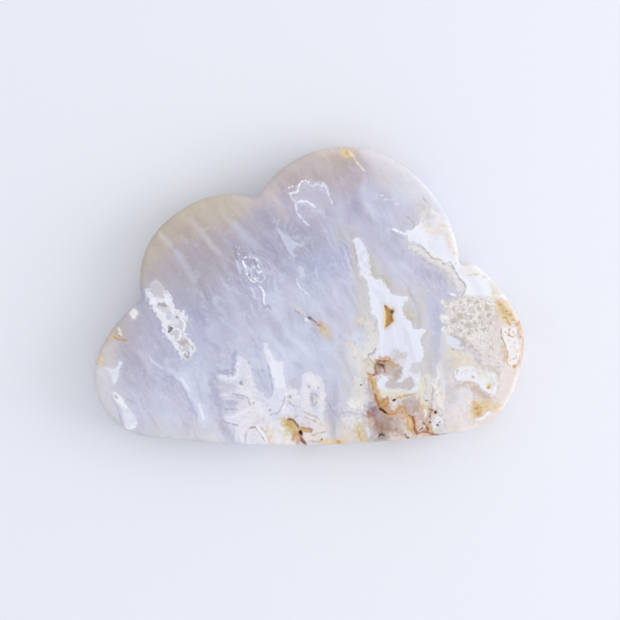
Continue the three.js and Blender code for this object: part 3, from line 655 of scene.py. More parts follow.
def left_lobe_marks(lay):
    """Cream blotch, gold specks, the white streak by the edge and the diagonal stripes of the left lobe, with
    a painted shadow along the lower left of the pale ice stripe.
    """
    lay.patch("pale_cream", 0.9, (-33, -3.2), (-32.3, -2.3), (-31.5, -3.2), (-32.3, -4.2))
    lay.patch("straw", 0.8, (-36.9, -7.9), (-36.3, -6.7), (-35.7, -7.1), (-36, -7.7))
    lay.vein("ochre", 0.85, 0.34, (-36, -7.3), (-35, -8), (-33.6, -8.1), (-33.3, -8.4))
    lay.vein("pale_cream", 0.7, 0.5, (-35.2, -5.8), (-34.4, -7.2))
    lay.fleck("ochre", 1, 0.18, (-35.4, -6.9), (-34.8, -7.3))
    lay.stain("honey", 0.7, 1, (-38.6, -11.4), (-38.3, -12.6))
    lay.patch("milk", 1, (-37.6, -13.2), (-36.4, -14.4), (-35.9, -16), (-35.2, -15.2), (-34.9, -13.4),
              (-34.3, -12.4), (-34.9, -12.1), (-35.6, -13.3))
    lay.patch("white", 0.92, (-36, -17.9), (-35.5, -19.2), (-34.3, -20.8), (-33.6, -24.4), (-32.5, -24.5),
              (-31.5, -23.3), (-33.4, -20.2), (-33.9, -19.9), (-34.2, -19), (-35.4, -18))
    lay.vein("olive", 0.9, 0.3, (-35.8, -18.2), (-35.1, -18.9))
    lay.vein("dusk", 0.4, 0.35, (-36.4, -18.4), (-34.9, -21.2), (-34.3, -24.4))
    lay.vein("taupe", 0.6, 0.3, (-33.7, -19.2), (-33.1, -19.1), (-32.4, -19.7))
    lay.vein("ice", 0.6, 0.5, (-29.2, -11), (-28.7, -12.1), (-27.2, -13.1), (-26.7, -13.9))
    lay.band("ice", 0.55, 0.8, (-26.8, -13.6), (-24.6, -14.2), (-22.8, -15.6), (-20.2, -20), (-19, -24))
    lay.stain("ice", 0.5, 1.6, (-19.8, -21.6), (-19, -24))
    # Painted shadow: a slate line along the lower left of the pale ice stripe.
    lay.vein("slate", 0.5, 0.4, (-26.6, -14.6), (-24.6, -15.4), (-23, -17.2), (-20.8, -22))
    lay.patch("ice", 0.8, (-24.8, -14.7), (-23.2, -16.7), (-22.2, -18.7), (-21.3, -19.3), (-19.9, -23),
              (-18.7, -23.4), (-18.5, -21.4), (-19.2, -20), (-21.6, -18.2), (-21.3, -16.3), (-21.9, -15.8),
              (-22.3, -14.6), (-23.4, -14))
    lay.vein("white", 0.6, 0.5, (-23.6, -14.9), (-21.9, -17.6))
    lay.vein("white", 0.7, 0.6, (-20.4, -19.6), (-19.2, -22.8))
    # Painted shadow: a slate line along the lower left of the pale ice patch.
    lay.vein("slate", 0.4, 0.3, (-24.9, -15.4), (-21.6, -21))


def dark_branch(lay):
    """The branch near the middle of the stone, with painted shade in its pit."""
    lay.patch("pale_grey", 0.9, (-3.1, -1.8), (-1.8, -1.6), (-0.7, -2.8), (-0.4, -3.4), (-0.6, -3.8))
    lay.vein("mauve_brown", 0.7, 0.22, (-3.3, -2.1), (-1.5, -3.5), (-0.9, -5))
    # Painted shade: the dark grey dash in the pit.
    lay.dash("dark_grey", 0.9, 0.4, (-0.4, -3.8), (0.5, -4.2))
    lay.dash("red_brown", 0.8, 0.26, (0.5, -4.3), (1.5, -4.95))
    lay.vein("white", 0.85, 0.36, (-0.9, -4.1), (0.7, -5))
    lay.spot("rust", 0.7, (0.4, 0.3), (1.8, -5.4))
    lay.stain("ochre", 0.7, 0.8, (1.7, -5.2), (2.8, -6))
    lay.stain("straw", 0.5, 0.9, (2.8, -6), (3.8, -7.6))


def white_plume(lay):
    """The white branching plume and its outlined windows in the lower left."""
    lay.area("milk", 0.82, (-13.3, -11.4), (-12.3, -11.2), (-11, -12.4), (-10.4, -14), (-10.2, -16),
             (-7.8, -18.8), (-6.7, -18.6), (-6.4, -16.6), (-6.6, -14.6), (-8.1, -11), (-8.4, -9),
             (-7.7, -8.9), (-6.9, -11), (-5.6, -11.9), (-4.6, -12), (-4.8, -13.4), (-3.8, -18), (-1.6, -18.2),
             (-1.2, -14.8), (0.2, -14), (2.6, -15.6), (3, -19), (2.6, -24), (3.4, -27.9), (-12.8, -27.6),
             (-13.4, -25), (-14, -23.9), (-15.4, -23), (-15.8, -21.9), (-13, -21.4), (-11.4, -20.6),
             (-11.6, -19.2), (-13.2, -18.2), (-15.9, -18.4), (-16.3, -17.8), (-14, -17.4), (-13.4, -16.8),
             (-15.2, -16), (-16.6, -14.4), (-14, -14.8), (-13.3, -13.6))
    lay.patch("white", 0.6, (-7.9, -10.4), (-7.1, -11.3), (-7.2, -12.6), (-6.2, -15.5), (-6.1, -16.8),
              (-4.5, -16.8), (-4.5, -15), (-5, -14.4), (-4.5, -13), (-4.9, -12.3), (-5.6, -12.3),
              (-6.3, -11.8), (-7.3, -10))
    lay.stain("slate", 0.7, 0.7, (-13.7, -10.6), (-14, -13.8), (-15, -14.2), (-16.4, -13.9))
    lay.stain("milk", 0.8, 0.6, (-12.9, -11.4), (-12.9, -13.4), (-13.4, -15), (-14.8, -15.2), (-16.4, -14.9))
    lay.stain("blush_white", 0.6, 0.7, (-11.4, -13), (-10.6, -16.8), (-9.7, -18.2))
    lay.spot("slate", 0.5, 0.3, (-11, -12.3), (-10.4, -13.6), (-8.5, -13.7))
    lay.stain("deep_violet", 0.5, 0.7, (-17.5, -14.5), (-17.7, -17), (-16.6, -19.4), (-16.1, -21.4),
              (-16.2, -23), (-13.8, -27), blur=0.6)
    lay.spot("dark_grey", 0.8, (0.34, 0.46), (-12.45, -15.9))
    lay.band("periwinkle", 0.6, 1.4, (-15, -19.6), (-13.4, -19.4), (-12.4, -19.8))
    lay.stain("lavender", 0.6, 1.3, (-15.8, -16.5), (-13.6, -16.9))
    lay.vein("white", 0.6, 0.32, (-16.2, -14.9), (-14.2, -15.2), (-13.2, -14.4), (-12.9, -11.8))
    lay.vein("white", 0.6, 0.32, (-15.2, -22.5), (-12.8, -21.8), (-11, -20.8), (-10.2, -21.4))
    lay.vein("milk", 0.55, 0.5, (-15.8, -18.8), (-12.4, -19.2), (-11.8, -20.2))
    lay.vein("blue", 0.9, 0.5, (-15.5, -20.9), (-13.7, -20.8))
    lay.vein("mauve_brown", 0.75, 0.24, (-14.2, -18), (-12.8, -18.2), (-11.4, -18.9), (-10.6, -20.4))
    lay.stain("blush_white", 0.8, 0.7, (-13, -17.2), (-11.6, -17.8), (-10.4, -18.8), (-9.2, -21.2))
    lay.vein("dusk", 0.75, 0.3, (-15.9, -22.4), (-15.3, -23.2), (-13.2, -23.8))
    lay.spot("mauve_brown", 0.6, 0.28, (-10.1, -19.6), (-7.2, -20.9))
    lay.patch("mauve_brown", 0.6, (-10.4, -23.5), (-8.4, -22.3), (-8.2, -23), (-9.2, -23.6))
    lay.vein("red_brown", 0.65, 0.22, (-11.2, -24.3), (-9.9, -24.2), (-8.5, -26.1), (-8.2, -27.4))
    lay.vein("white", 0.9, 0.36, (-9.7, -23.9), (-8.3, -25.3), (-7.8, -27.3))
    lay.vein("tan", 0.6, 0.24, (-9, -23.9), (-7.5, -25.8), (-7.3, -27.2))
    lay.band("lavender", 0.5, 1.2, (-10.4, -25.3), (-9.8, -27.4))
    lay.vein("lilac", 0.6, 0.4, (-11.6, -24.8), (-11.8, -27.2))
    lay.stain("milk", 0.3, 1.6, (-4, -24.6), (-3, -26), blur=0.8)
    lay.vein("blush_white", 0.8, 0.5, (-12.8, -24.4), (-12, -26.8))
    lay.vein("slate", 0.6, 0.3, (-7.6, -12.4), (-6.6, -17.4))
    lay.band("lavender", 0.8, 1.7, (-2.7, -15.2), (-2.6, -17.2))
    lay.vein("mauve_brown", 0.6, 0.22, (-4.5, -17.8), (-4.8, -19.8), (-5.6, -21.3), (-7.1, -21.9))
    lay.stain("milk", 0.8, 0.8, (-5, -18), (-5.4, -19.4), (-6.2, -20.6), (-7.4, -20.8))
    lay.spot("dark_grey", 0.7, 0.34, (-3.6, -18.6))
    lay.vein("mauve_brown", 0.8, 0.22, (-3.8, -19.2), (-2.7, -20.1), (-1.6, -20.3))
    lay.band("white", 0.8, 1.2, (-4.6, -20.3), (-4.2, -21.4))
    lay.band("lilac", 0.7, 1.2, (-2.5, -20.9), (-2.4, -22.3))


def amber_crack(lay):
    """The gold and brown crack at the bottom edge, and the white plume that stands over it."""
    lay.band("blush_white", 0.9, 1.5, (-0.1, -14.8), (1.8, -17))
    lay.band("blush_white", 0.8, 0.9, (2.3, -17.4), (2.4, -19.6), (2, -21.4))
    lay.band("blush_white", 0.8, 1.1, (-0.5, -16.6), (-0.4, -20.8))
    lay.patch("mid_grey", 0.75, (0.2, -18.1), (0.8, -17.8), (1.5, -17.9), (1.8, -18.6), (1.7, -19.3),
              (0.7, -20.5), (0.3, -20.2))
    lay.spot("mid_grey", 0.7, 0.3, (-0.1, -16.6), (1.8, -16.9))
    lay.vein("tan", 0.8, 0.3, (-1, -21.2), (1.2, -22.1), (1.8, -22.8))
    lay.vein("mauve_brown", 0.6, 0.26, (-0.8, -22.2), (1.6, -23.4))
    lay.vein("mauve_brown", 0.6, 0.24, (0.2, -26), (1.2, -25.4), (3.4, -24.9))
    lay.vein("mauve_brown", 0.5, 0.24, (0, -26.6), (1.4, -26.8), (3, -26.5))
    lay.stain("blush_white", 0.85, None, (-7.4, -23.8), (-5, -23.4), (-3, -24.8), (-2.6, -27.8),
              (-7.4, -27.6))
    lay.stain("yellow_cream", 0.6, 1.4, (-4.6, -24.6), (-4, -27.2))
    lay.stain("cream", 0.7, 1.4, (0, -22.4), (1.6, -23.6), (2, -25), (1, -26))
    lay.stain("peach", 0.6, 0.6, (0.4, -25.4), (2.6, -24))
    lay.stain("blush_white", 0.6, None, (-13, -19.8), (-9, -19.6), (-7.4, -22), (-8.4, -27), (-12.6, -26.8))
    lay.stain("blush_white", 0.75, 2.2, (-3.8, -17.4), (-2.6, -18.6))
    lay.stain("peach", 0.45, 1.4, (-0.8, -26.2), (0.6, -26), (1.6, -26.6))
    lay.stain("peach", 0.8, 0.9, (-7.6, -24.4), (-6.8, -27.2))
    lay.stain("straw", 0.9, None, (-5.1, -23), (-4, -22.7), (-3, -23), (-2.2, -24.4), (-2.6, -25.4),
              (-4, -24.8))
    lay.stain("gold", 0.9, 0.9, (-4.2, -23), (-3.4, -23.4), (-2.8, -24.4))
    lay.stain("ochre", 0.85, 0.8, (-3, -25.2), (-1.9, -26.8))
    lay.stain("honey", 0.85, 0.9, (1.8, -26.6), (5, -27), (6.8, -26.9))
    lay.patch("gold", 0.8, (-4.6, -23.1), (-3.1, -22.5), (-2.1, -24), (-3.8, -24))
    lay.vein("brown", 0.95, 0.42, (-3.9, -22.75), (-3.1, -22.65), (-1.8, -24.3))
    lay.vein("gold", 0.95, 0.7, (-1.9, -24.4), (0.3, -24.8))
    lay.vein("brown", 0.7, 0.26, (-1.9, -24.2), (0.1, -24.3), (0.5, -24.7), (0.3, -25.1))
    lay.spot("amber", 0.8, (0.34, 0.3), (0.05, -24.75))
    lay.band("amber", 0.9, 0.9, (-1.8, -24.5), (-1.6, -25.9))
    # Painted shade: the black fleck in the pore.
    lay.fleck("bark", 1, (0.36, 0.46), (-1.5, -25.15))
    lay.vein("brown", 1, 0.5, (-1.7, -25.9), (-0.7, -27.1))
    lay.patch("pale_cream", 0.7, (-0.9, -25.5), (0, -25.4), (0.4, -26), (-0.3, -26.6))
    lay.fleck("brown", 1, 0.24, (2.4, -26.3))
    lay.spot("ochre", 0.8, (0.4, 0.3), (5.5, -26.8))


def lower_middle_marks(lay):
    """Cream patches and the thin grey curves between the amber crack and the brown corner."""
    lay.patch("pale_cream", 0.95, (7.2, -19.3), (9.5, -18.8), (10.3, -19.5), (10.1, -20.5), (7.8, -20.5))
    lay.patch("cream", 0.9, (6, -22.8), (7, -22.3), (8.5, -22.5), (9.5, -23), (9, -23.8), (7.5, -23.7))
    lay.vein("lilac", 0.6, 0.35, (6.4, -21.6), (7.6, -21.4), (9, -21.7), (10.2, -21.4))
    lay.vein("ochre", 0.7, 0.3, (8.9, -24.2), (9.4, -26.2), (9.9, -26.9))
    lay.vein("milk", 0.6, 0.4, (10.6, -23.8), (11.2, -26.2))
    lay.fleck("brown", 1, 0.2, (9.6, -16.3))
    lay.vein("mauve_brown", 0.6, 0.3, (10.8, -15), (11.5, -18.7))


def brown_corner_tints(lay):
    """Soft tints, a shell-coloured patch and a grey blob among the growths of the lower right."""
    lay.stain("taupe", 0.85, None, (13.6, -12.4), (14.6, -12.2), (15.8, -12.4), (16.8, -13.2), (17.1, -14),
              (16.4, -14.9), (15.2, -14.6), (14.2, -14))
    lay.stain("tan", 0.85, 1.1, (13.4, -12.8), (14.8, -14.2))
    lay.stain("ochre", 0.85, 0.9, (12.3, -12.3), (13.4, -11.9), (14.8, -11.9), (15.6, -12.5))
    lay.stain("brown", 0.7, 0.6, (12.4, -12.4), (13.4, -12.5), (13.8, -13.2))
    lay.stain("khaki", 0.6, 1.2, (15.8, -13), (16, -14), (15.6, -15.2))
    lay.stain("greige", 0.7, 1, (16, -10.2), (17, -11), (18, -10.8))
    lay.patch("shell", 0.9, (14.1, -16.3), (15.3, -15.2), (16.4, -15.9), (17.1, -15.8), (18.3, -14.9),
              (19, -15.4), (19.3, -16.3), (18.8, -17), (17.9, -17.3), (16.8, -17), (16, -17.3), (14.4, -16.8))
    lay.stain("taupe", 0.8, 0.5, (15.2, -15.2), (15.6, -14.7), (16, -15.2))
    lay.blob("pale_grey", 0.9, (1.05, 1.15), (19.6, -13.3))
    lay.stain("yellow_cream", 0.8, 0.9, (13, -17.6), (14.4, -18.1), (16, -18.2), (18, -17.7))
    lay.stain("yellow_cream", 0.7, 0.8, (20.6, -15), (20.4, -19), (20.9, -21))
    lay.stain("pale_cream", 0.7, 0.8, (23, -15.6), (24.6, -20.6))
    lay.stain("mauve", 0.95, None, (10.2, -20.3), (11, -19.5), (12, -19.7), (13.8, -22.4), (12.6, -22.6),
              (10.6, -21))
    lay.stain("dusk", 0.7, 0.8, (11.2, -20.4), (13, -22))
    lay.stain("taupe", 0.8, None, (17.2, -19.6), (18.6, -18.9), (20.2, -19.4), (20.4, -20.8), (18.8, -21.2),
              (17.4, -20.6))
    lay.stain("pink", 0.8, None, (13.4, -22.4), (15, -22), (17.6, -22.2), (18, -24.6), (14.4, -23.6))
    lay.stain("tan", 0.75, 1.4, (10.8, -21.8), (11.6, -23), (12.8, -24), (16, -25.2))
    lay.stain("taupe", 0.7, 1.2, (13, -22.6), (17, -23.6))
    lay.stain("rust", 0.6, 0.6, (12.4, -23.4), (16.6, -25.1), (17.2, -25.7))
    lay.stain("red_brown", 0.8, 0.6, (11.8, -22), (13.2, -24), (13.2, -24.8))
    lay.stain("red_brown", 0.8, 0.5, (12.4, -20.6), (10.6, -22.2))
    lay.stain("red_brown", 0.75, 0.9, (12.5, -12.8), (12.9, -13.6), (13.6, -14))
    lay.stain("taupe", 0.8, 1.2, (13.2, -13.6), (13.8, -14.2))
    lay.stain("taupe", 0.8, 2.2, (12.6, -22.8), (16, -23.8))
    lay.stain("brown", 0.4, 2.4, (12.4, -24.4), (13.4, -24.2), (14.6, -23.4))


def loose_tints(lay):
    """Soft tints placed singly, most of them round the lower right."""
    lay.stain("cream", 0.6, 1.6, (9.2, -15), (9, -17.6), (10, -20.4))
    lay.stain("pink_white", 0.55, 3, (25.8, -22), (29, -22))
    lay.stain("honey", 0.35, 2, (29.4, -21.6), (30.8, -22.4))
    lay.stain("cream", 0.45, 1.8, (25.4, -13), (26.2, -15))
    lay.stain("brown", 0.25, 2.2, (13, -21.4), (15.2, -22.4))
    lay.stain("pale_ice", 0.6, 1.8, (9.2, -7), (9.6, -9.4))
    lay.stain("khaki", 0.4, 1.6, (10.4, -12), (11.4, -12.4))
    lay.stain("ochre", 0.25, 1.6, (-1.6, -23.8), (-0.4, -24))
    lay.stain("mist", 0.4, 3.2, (-34.2, -21.4), (-32, -22.6))
    lay.stain("rose", 0.6, 1.8, (26, -16.4), (26, -19.4))


def brown_corner(lay):
    """The rusty, brown and gold growths of the lower right: blobs, moustache, veins, loops and bands, with
    painted shade in the fissure, a pore and the chipped edge.
    """
    lay.stain("tan", 0.8, 1.1, (20.6, -19.8), (20.9, -21), (20.7, -22.4))
    lay.stain("amber", 0.9, None, (12.9, -19.3), (14.7, -19), (14.6, -20.4), (13.4, -20.6), (12.9, -20.2))
    lay.stain("ochre", 0.75, 1, (13.6, -21.2), (14.8, -21.6), (16, -21.5), (17, -20.2), (17.5, -21.2),
              (17.3, -21.8), (18.4, -22), (19, -22.6))
    lay.stain("honey", 0.9, 1, (18.2, -22.4), (18.6, -24.6))
    lay.stain("ochre", 0.9, 0.9, (19.2, -22.6), (19.4, -24.6), (19.9, -25.4))
    lay.stain("straw", 0.9, 0.8, (8.6, -24.6), (9.2, -24), (10.2, -27.4))
    lay.stain("ochre", 0.9, 0.8, (21, -23.2), (21.8, -24), (22.2, -25.2), (21.4, -25.2))
    lay.stain("ochre", 0.6, 0.5, (21.6, -20.6), (22.4, -21), (22.2, -22.6))
    lay.stain("honey", 0.7, 0.6, (14.8, -26.4), (21.6, -25.9))
    lay.vein("mauve_brown", 0.7, 0.34, (12.3, -9.7), (11.9, -10.4), (11, -10.7), (10.8, -11.2))
    lay.vein("gold", 1, 0.32, (10.8, -11.2), (12.2, -12.8))
    lay.vein("brown", 0.95, 0.42, (12.3, -12.1), (13.4, -12.9), (14, -14))
    lay.dash("bark", 0.8, 0.26, (12.5, -12.3), (13.1, -12.7), (13.5, -12.5), (13.7, -13.1))
    lay.vein("brown", 0.9, 0.34, (12.8, -12), (14.6, -11.9))
    lay.vein("gold", 0.8, 0.3, (14.6, -11.9), (16.4, -13))
    lay.vein("rust", 0.9, 0.46, (12.2, -12.6), (12.4, -14.2), (11.8, -14.5), (10.7, -14.3))
    lay.dash("dark_brown", 0.9, 0.24, (12.2, -12.8), (12.1, -13.5))
    lay.stain("gold", 0.95, 0.9, (10.9, -14.5), (11.5, -15.2), (12.8, -19.6), blur=0.25)
    lay.dash("rust", 0.6, 0.24, (10.9, -14.4), (11.4, -15.3), (12, -18))
    lay.dash("rust", 0.9, 0.5, (12.1, -17.9), (12.9, -20.4))
    # Painted shade: the black dash along the fissure's groove.
    lay.dash("bark", 1, 0.34, (12.9, -20.6), (14.4, -21.65))
    lay.vein("gold", 0.8, 0.34, (13.2, -20.2), (14.4, -19.3))
    lay.vein("rust", 0.6, 0.28, (14.4, -21.7), (15.6, -21.7), (16.3, -21.2), (16.7, -20.4))
    lay.patch("warm_white", 0.8, (15, -20.6), (15.3, -19.9), (16.1, -19.8), (16.3, -20.6), (15.7, -21))
    # Painted shade: the black dash in the pore.
    lay.dash("bark", 1, 0.32, (15.5, -19.3), (15.9, -18.95))
    lay.vein("gold", 0.95, 0.32, (16, -18.8), (19.6, -18))
    # Painted shade: the dark brown patch and the black dash fill the chipped edge's hollow.
    lay.patch("dark_brown", 0.95, (12, -26.6), (13.3, -24.9), (14.6, -25.9), (13.5, -25.95))
    lay.dash("bark", 0.9, 0.4, (12.7, -26), (13.3, -25.4), (13.9, -25.7))
    lay.fleck("brown", 1, (0.34, 0.2), (17.7, -25.6), (18, -26))
    lay.vein("rust", 0.85, 0.42, (18.1, -21.9), (18.8, -22.1), (19.2, -22.6), (19.3, -24.5), (19.8, -24.9),
             (19.8, -25.6))
    lay.dash("dark_brown", 0.7, 0.24, (18.3, -21.9), (19.2, -22.9), (19.3, -24.6))
    lay.dash("red_brown", 0.8, 0.36, (19.4, -24.8), (20.2, -25.3), (21.2, -25), (23.2, -25.4))
    lay.vein("gold", 0.85, 0.3, (18.2, -22.6), (18.3, -24.2), (18.9, -24.8))
    lay.patch("lilac", 0.95, (19.5, -21.3), (20.4, -21.4), (20.3, -22.3), (19.6, -22.2))
    lay.patch("pink", 0.95, (19.7, -22.8), (20.6, -22.7), (20.7, -23.9), (19.9, -24.1))
    lay.vein("rust", 0.9, 0.34, (20.2, -24.8), (21, -24.1))
    lay.vein("brown", 1, 0.4, (21, -23.1), (21.9, -24.8))
    lay.patch("amber", 0.8, (21.6, -24.6), (22.2, -24.5), (22.9, -24.9), (22.8, -25.6), (21.8, -25.5))
    lay.vein("brown", 0.8, 0.34, (23, -25.4), (25.4, -25.5))
    lay.vein("brown", 0.7, 0.26, (22, -20.8), (22.6, -20.9), (22.2, -21.8), (22.3, -22.6))


def right_columns(lay):
    """The upright cream and grey columns and the white porous patch."""
    lay.area("cream", 0.75, (21, -14.6), (22.4, -14.4), (22.6, -16.6), (22.3, -18.6), (21.1, -18.8),
             (20.5, -17))
    lay.vein("taupe", 0.7, 0.28, (22.8, -16.4), (22.5, -20.9))
    lay.vein("grey", 0.8, 0.26, (21.4, -15), (21.6, -16.6), (21.3, -18))
    lay.vein("brown", 0.7, 0.3, (21.3, -19.2), (22.3, -19.4))
    lay.stain("yellow_cream", 0.8, 0.9, (20.8, -19.6), (21.4, -20.4), (21.2, -21.6))
    lay.dash("rust", 0.8, 0.26, (22.2, -20.8), (22.8, -21.1))
    lay.dash("rust", 0.8, 0.26, (22.1, -21.6), (22.3, -22.2))
    lay.vein("white", 0.7, 0.4, (21.2, -20.9), (21.6, -21.6), (21.4, -22.4))
    lay.patch("white", 1, (22.6, -21.5), (24.4, -22.4), (24.6, -23.4), (22.8, -24.7), (22.1, -24.4),
              (22.2, -22.4))
    lay.spot("ochre", 0.7, 0.42, (23.2, -21.4))
    # Painted shade: the dark brown flecks in the three pores.
    lay.fleck("dark_brown", 1, 0.24, (23.2, -21.4), (22.25, -23.2))
    lay.fleck("dark_brown", 1, (0.3, 0.18), (23.6, -23.75))
    lay.fleck("brown", 0.8, 0.15, (24.1, -23.2), (24, -25.2), (22.9, -22.4))
    lay.spot("peach", 0.8, (0.5, 0.4), (25.9, -24), (26.5, -25))
    lay.vein("tan", 0.5, 0.28, (21.9, -6), (21.6, -7), (21, -7.7), (20.9, -8.8))
    lay.vein("mid_grey", 0.5, 0.28, (22.2, -11.6), (22.6, -14.6))
    lay.vein("white", 0.6, 0.4, (23.6, -12.6), (23.8, -14.6), (23.5, -15.6))


def late_tints(lay):
    """Soft tints laid over the growths of the lower right and along the lower edge."""
    lay.stain("ochre", 0.28, 2.2, (20, -20.6), (21, -22.2), blur=1.0)
    lay.stain("peach", 0.4, 1.8, (20.2, -25.2), (21.8, -25.4), blur=0.8)
    lay.stain("cream", 0.45, 1.4, (12, -26.8), (14.4, -26.6), blur=0.8)
    lay.stain("pale_cream", 0.4, 1.4, (15, -27.2), (19.6, -26.6), blur=0.8)
    lay.stain("red_brown", 0.15, 2, (12, -23.4), (13.8, -23.2), blur=0.9)
    lay.stain("brown", 0.12, 1.8, (13.4, -24.2), (14, -25), blur=0.9)
    lay.stain("ochre", 0.2, 1.8, (14, -20.2), (15.2, -20.4), blur=0.9)
    lay.stain("cream", 0.4, 1, (12.2, -27.3), (13.6, -27.3), blur=0.6)
    lay.stain("taupe", 0.3, 2.2, (15.8, -10.8), (16.8, -12.6), blur=0.9)
    lay.stain("straw", 0.33, 2, (10.8, -12.6), (11.4, -14.6), blur=0.9)
    lay.stain("pale_grey", 0.25, 1.6, (12, -17.4), (12.4, -18.8), blur=0.8)


def lace_marks(lay):
    """The cream lace on the right, with its larger grey windows, and the mauve bands below it."""
    lay.area("pale_cream", 0.8, (24.6, -0.8), (26, -1.2), (27.4, -0.5), (28.2, 0.4), (30, 0.3), (34.2, -0.9),
             (34.6, -3.2), (34.2, -5.2), (33, -7), (32.4, -8.6), (31.4, -7.8), (29.6, -8.4), (28.6, -7),
             (27.4, -7.6), (26.6, -6.6), (25.4, -7.2), (24.8, -6.4), (25.6, -5.4), (24.4, -4.6), (24.1, -3.8),
             (25.4, -3.2), (25.5, -2.2), (24.4, -1.6))
    windows = [(26.6, -4.6, 0.62, 0.42), (27.7, -3.7, 0.6, 0.5), (28.4, -2.5, 0.36, 0.26),
               (27.5, -2.6, 0.22, 0.2), (29.7, -4, 0.3, 0.3), (29.3, -5.4, 0.62, 0.52),
               (27.8, -6.3, 0.42, 0.3), (29.4, -6.9, 0.36, 0.3), (31.4, -3.7, 0.36, 0.46),
               (31.8, -4.9, 0.24, 0.36), (32.6, -2.2, 0.5, 0.6), (31.2, -2.2, 0.3, 0.3),
               (33.1, -3.5, 0.38, 0.46), (30.7, -6.2, 0.3, 0.3), (29.4, -0.9, 0.5, 0.3),
               (30.3, -2.9, 0.34, 0.3), (28.7, -3.4, 0.26, 0.3), (28.2, -4.9, 0.28, 0.3),
               (30.5, -4.9, 0.28, 0.32), (26.6, -2.4, 0.3, 0.3), (27.9, -1.2, 0.34, 0.26),
               (30.9, -1.1, 0.34, 0.26), (32.2, -6.1, 0.3, 0.3), (33.4, -5, 0.28, 0.3)]
    for x, y, across, along in windows:
        lay.spot("khaki", 0.75, (across, along), (x, y))
    lay.spot("dark_grey", 0.45, (0.4, 0.26), (27.8, -3.6), (29.3, -5.4), (26.5, -4.7), (27.8, -6.3))
    lay.vein("pale_cream", 1, 0.4, (25.4, -3.6), (24.7, -3.9), (25.8, -4.4))
    lay.vein("pale_cream", 1, 0.4, (25.2, -5.6), (24.5, -6), (24.4, -6.6))
    lay.band("taupe", 0.7, 0.5, (25.9, -7.2), (27.9, -7.8))
    lay.band("taupe", 0.6, 1.3, (27.6, -7.8), (30.6, -10.4), (31.4, -12.4))
    lay.stain("pink_white", 0.6, 2, (33.8, -6.6), (34.2, -9), (34, -12.4))
    lay.patch("milk", 1, (25.2, -7.6), (26, -7.4), (28, -8.3), (27.6, -8.9), (25.8, -8.9))
    lay.patch("pale_cream", 0.9, (30.8, -7.2), (31.8, -6.8), (32.6, -7.6), (33, -9), (32.2, -9.8),
              (31.4, -8.8))
    lay.patch("white", 0.9, (31.7, -7.9), (32.5, -8), (32.7, -8.9), (32.1, -9))
    lay.dash("tan", 0.6, 0.22, (26, -9.6), (28.8, -10.3))
    lay.dash("milk", 0.7, 0.4, (26, -9.3), (28.6, -9.5))
    lay.stain("yellow_cream", 0.7, 1.2, (26, -10.6), (28, -10.8), (29.6, -11.6))
    lay.stain("yellow_cream", 0.6, 0.8, (25.8, -12.6), (30, -12.4))
    lay.spot("taupe", 0.7, 0.22, (26.3, -9.8), (33.4, -9.4), (34.8, -12.4), (33, -11))
    lay.vein("taupe", 0.5, 0.28, (33.6, -7.4), (33.8, -10.4))
    lay.area("white", 0.85, (27, -13.4), (29, -12.8), (31, -13.3), (33, -13), (34.5, -14.4), (34.6, -17.4),
             (33.4, -18.4), (31.6, -17.2), (30.4, -15.9), (27.2, -15.4))
    lay.vein("gold", 0.9, 0.3, (29.8, -14.6), (30.7, -15))
    lay.stain("cream", 0.8, 1.3, (31.4, -14), (32.8, -15.2), (33.4, -16.4))
    lay.spot("honey", 0.7, (0.5, 0.6), (33, -16.7))
    lay.fleck("gold", 0.9, (0.32, 0.45), (33, -16.8))
    lay.vein("tan", 0.8, 0.3, (27.3, -13.4), (27.2, -14.6))
    lay.vein("pink", 0.6, 0.34, (28, -14), (29.2, -13.6), (30.6, -14))
    lay.band("tan", 0.7, 0.6, (27, -16.6), (29, -16), (30, -16.1), (31.2, -17.6), (33.2, -18.8))
    lay.vein("mid_grey", 0.6, 0.28, (30.7, -16.2), (32.7, -17.9), (33.6, -18.1))
    lay.vein("milk", 0.6, 0.5, (27.2, -17.8), (28.6, -17.4), (29.8, -17.8))


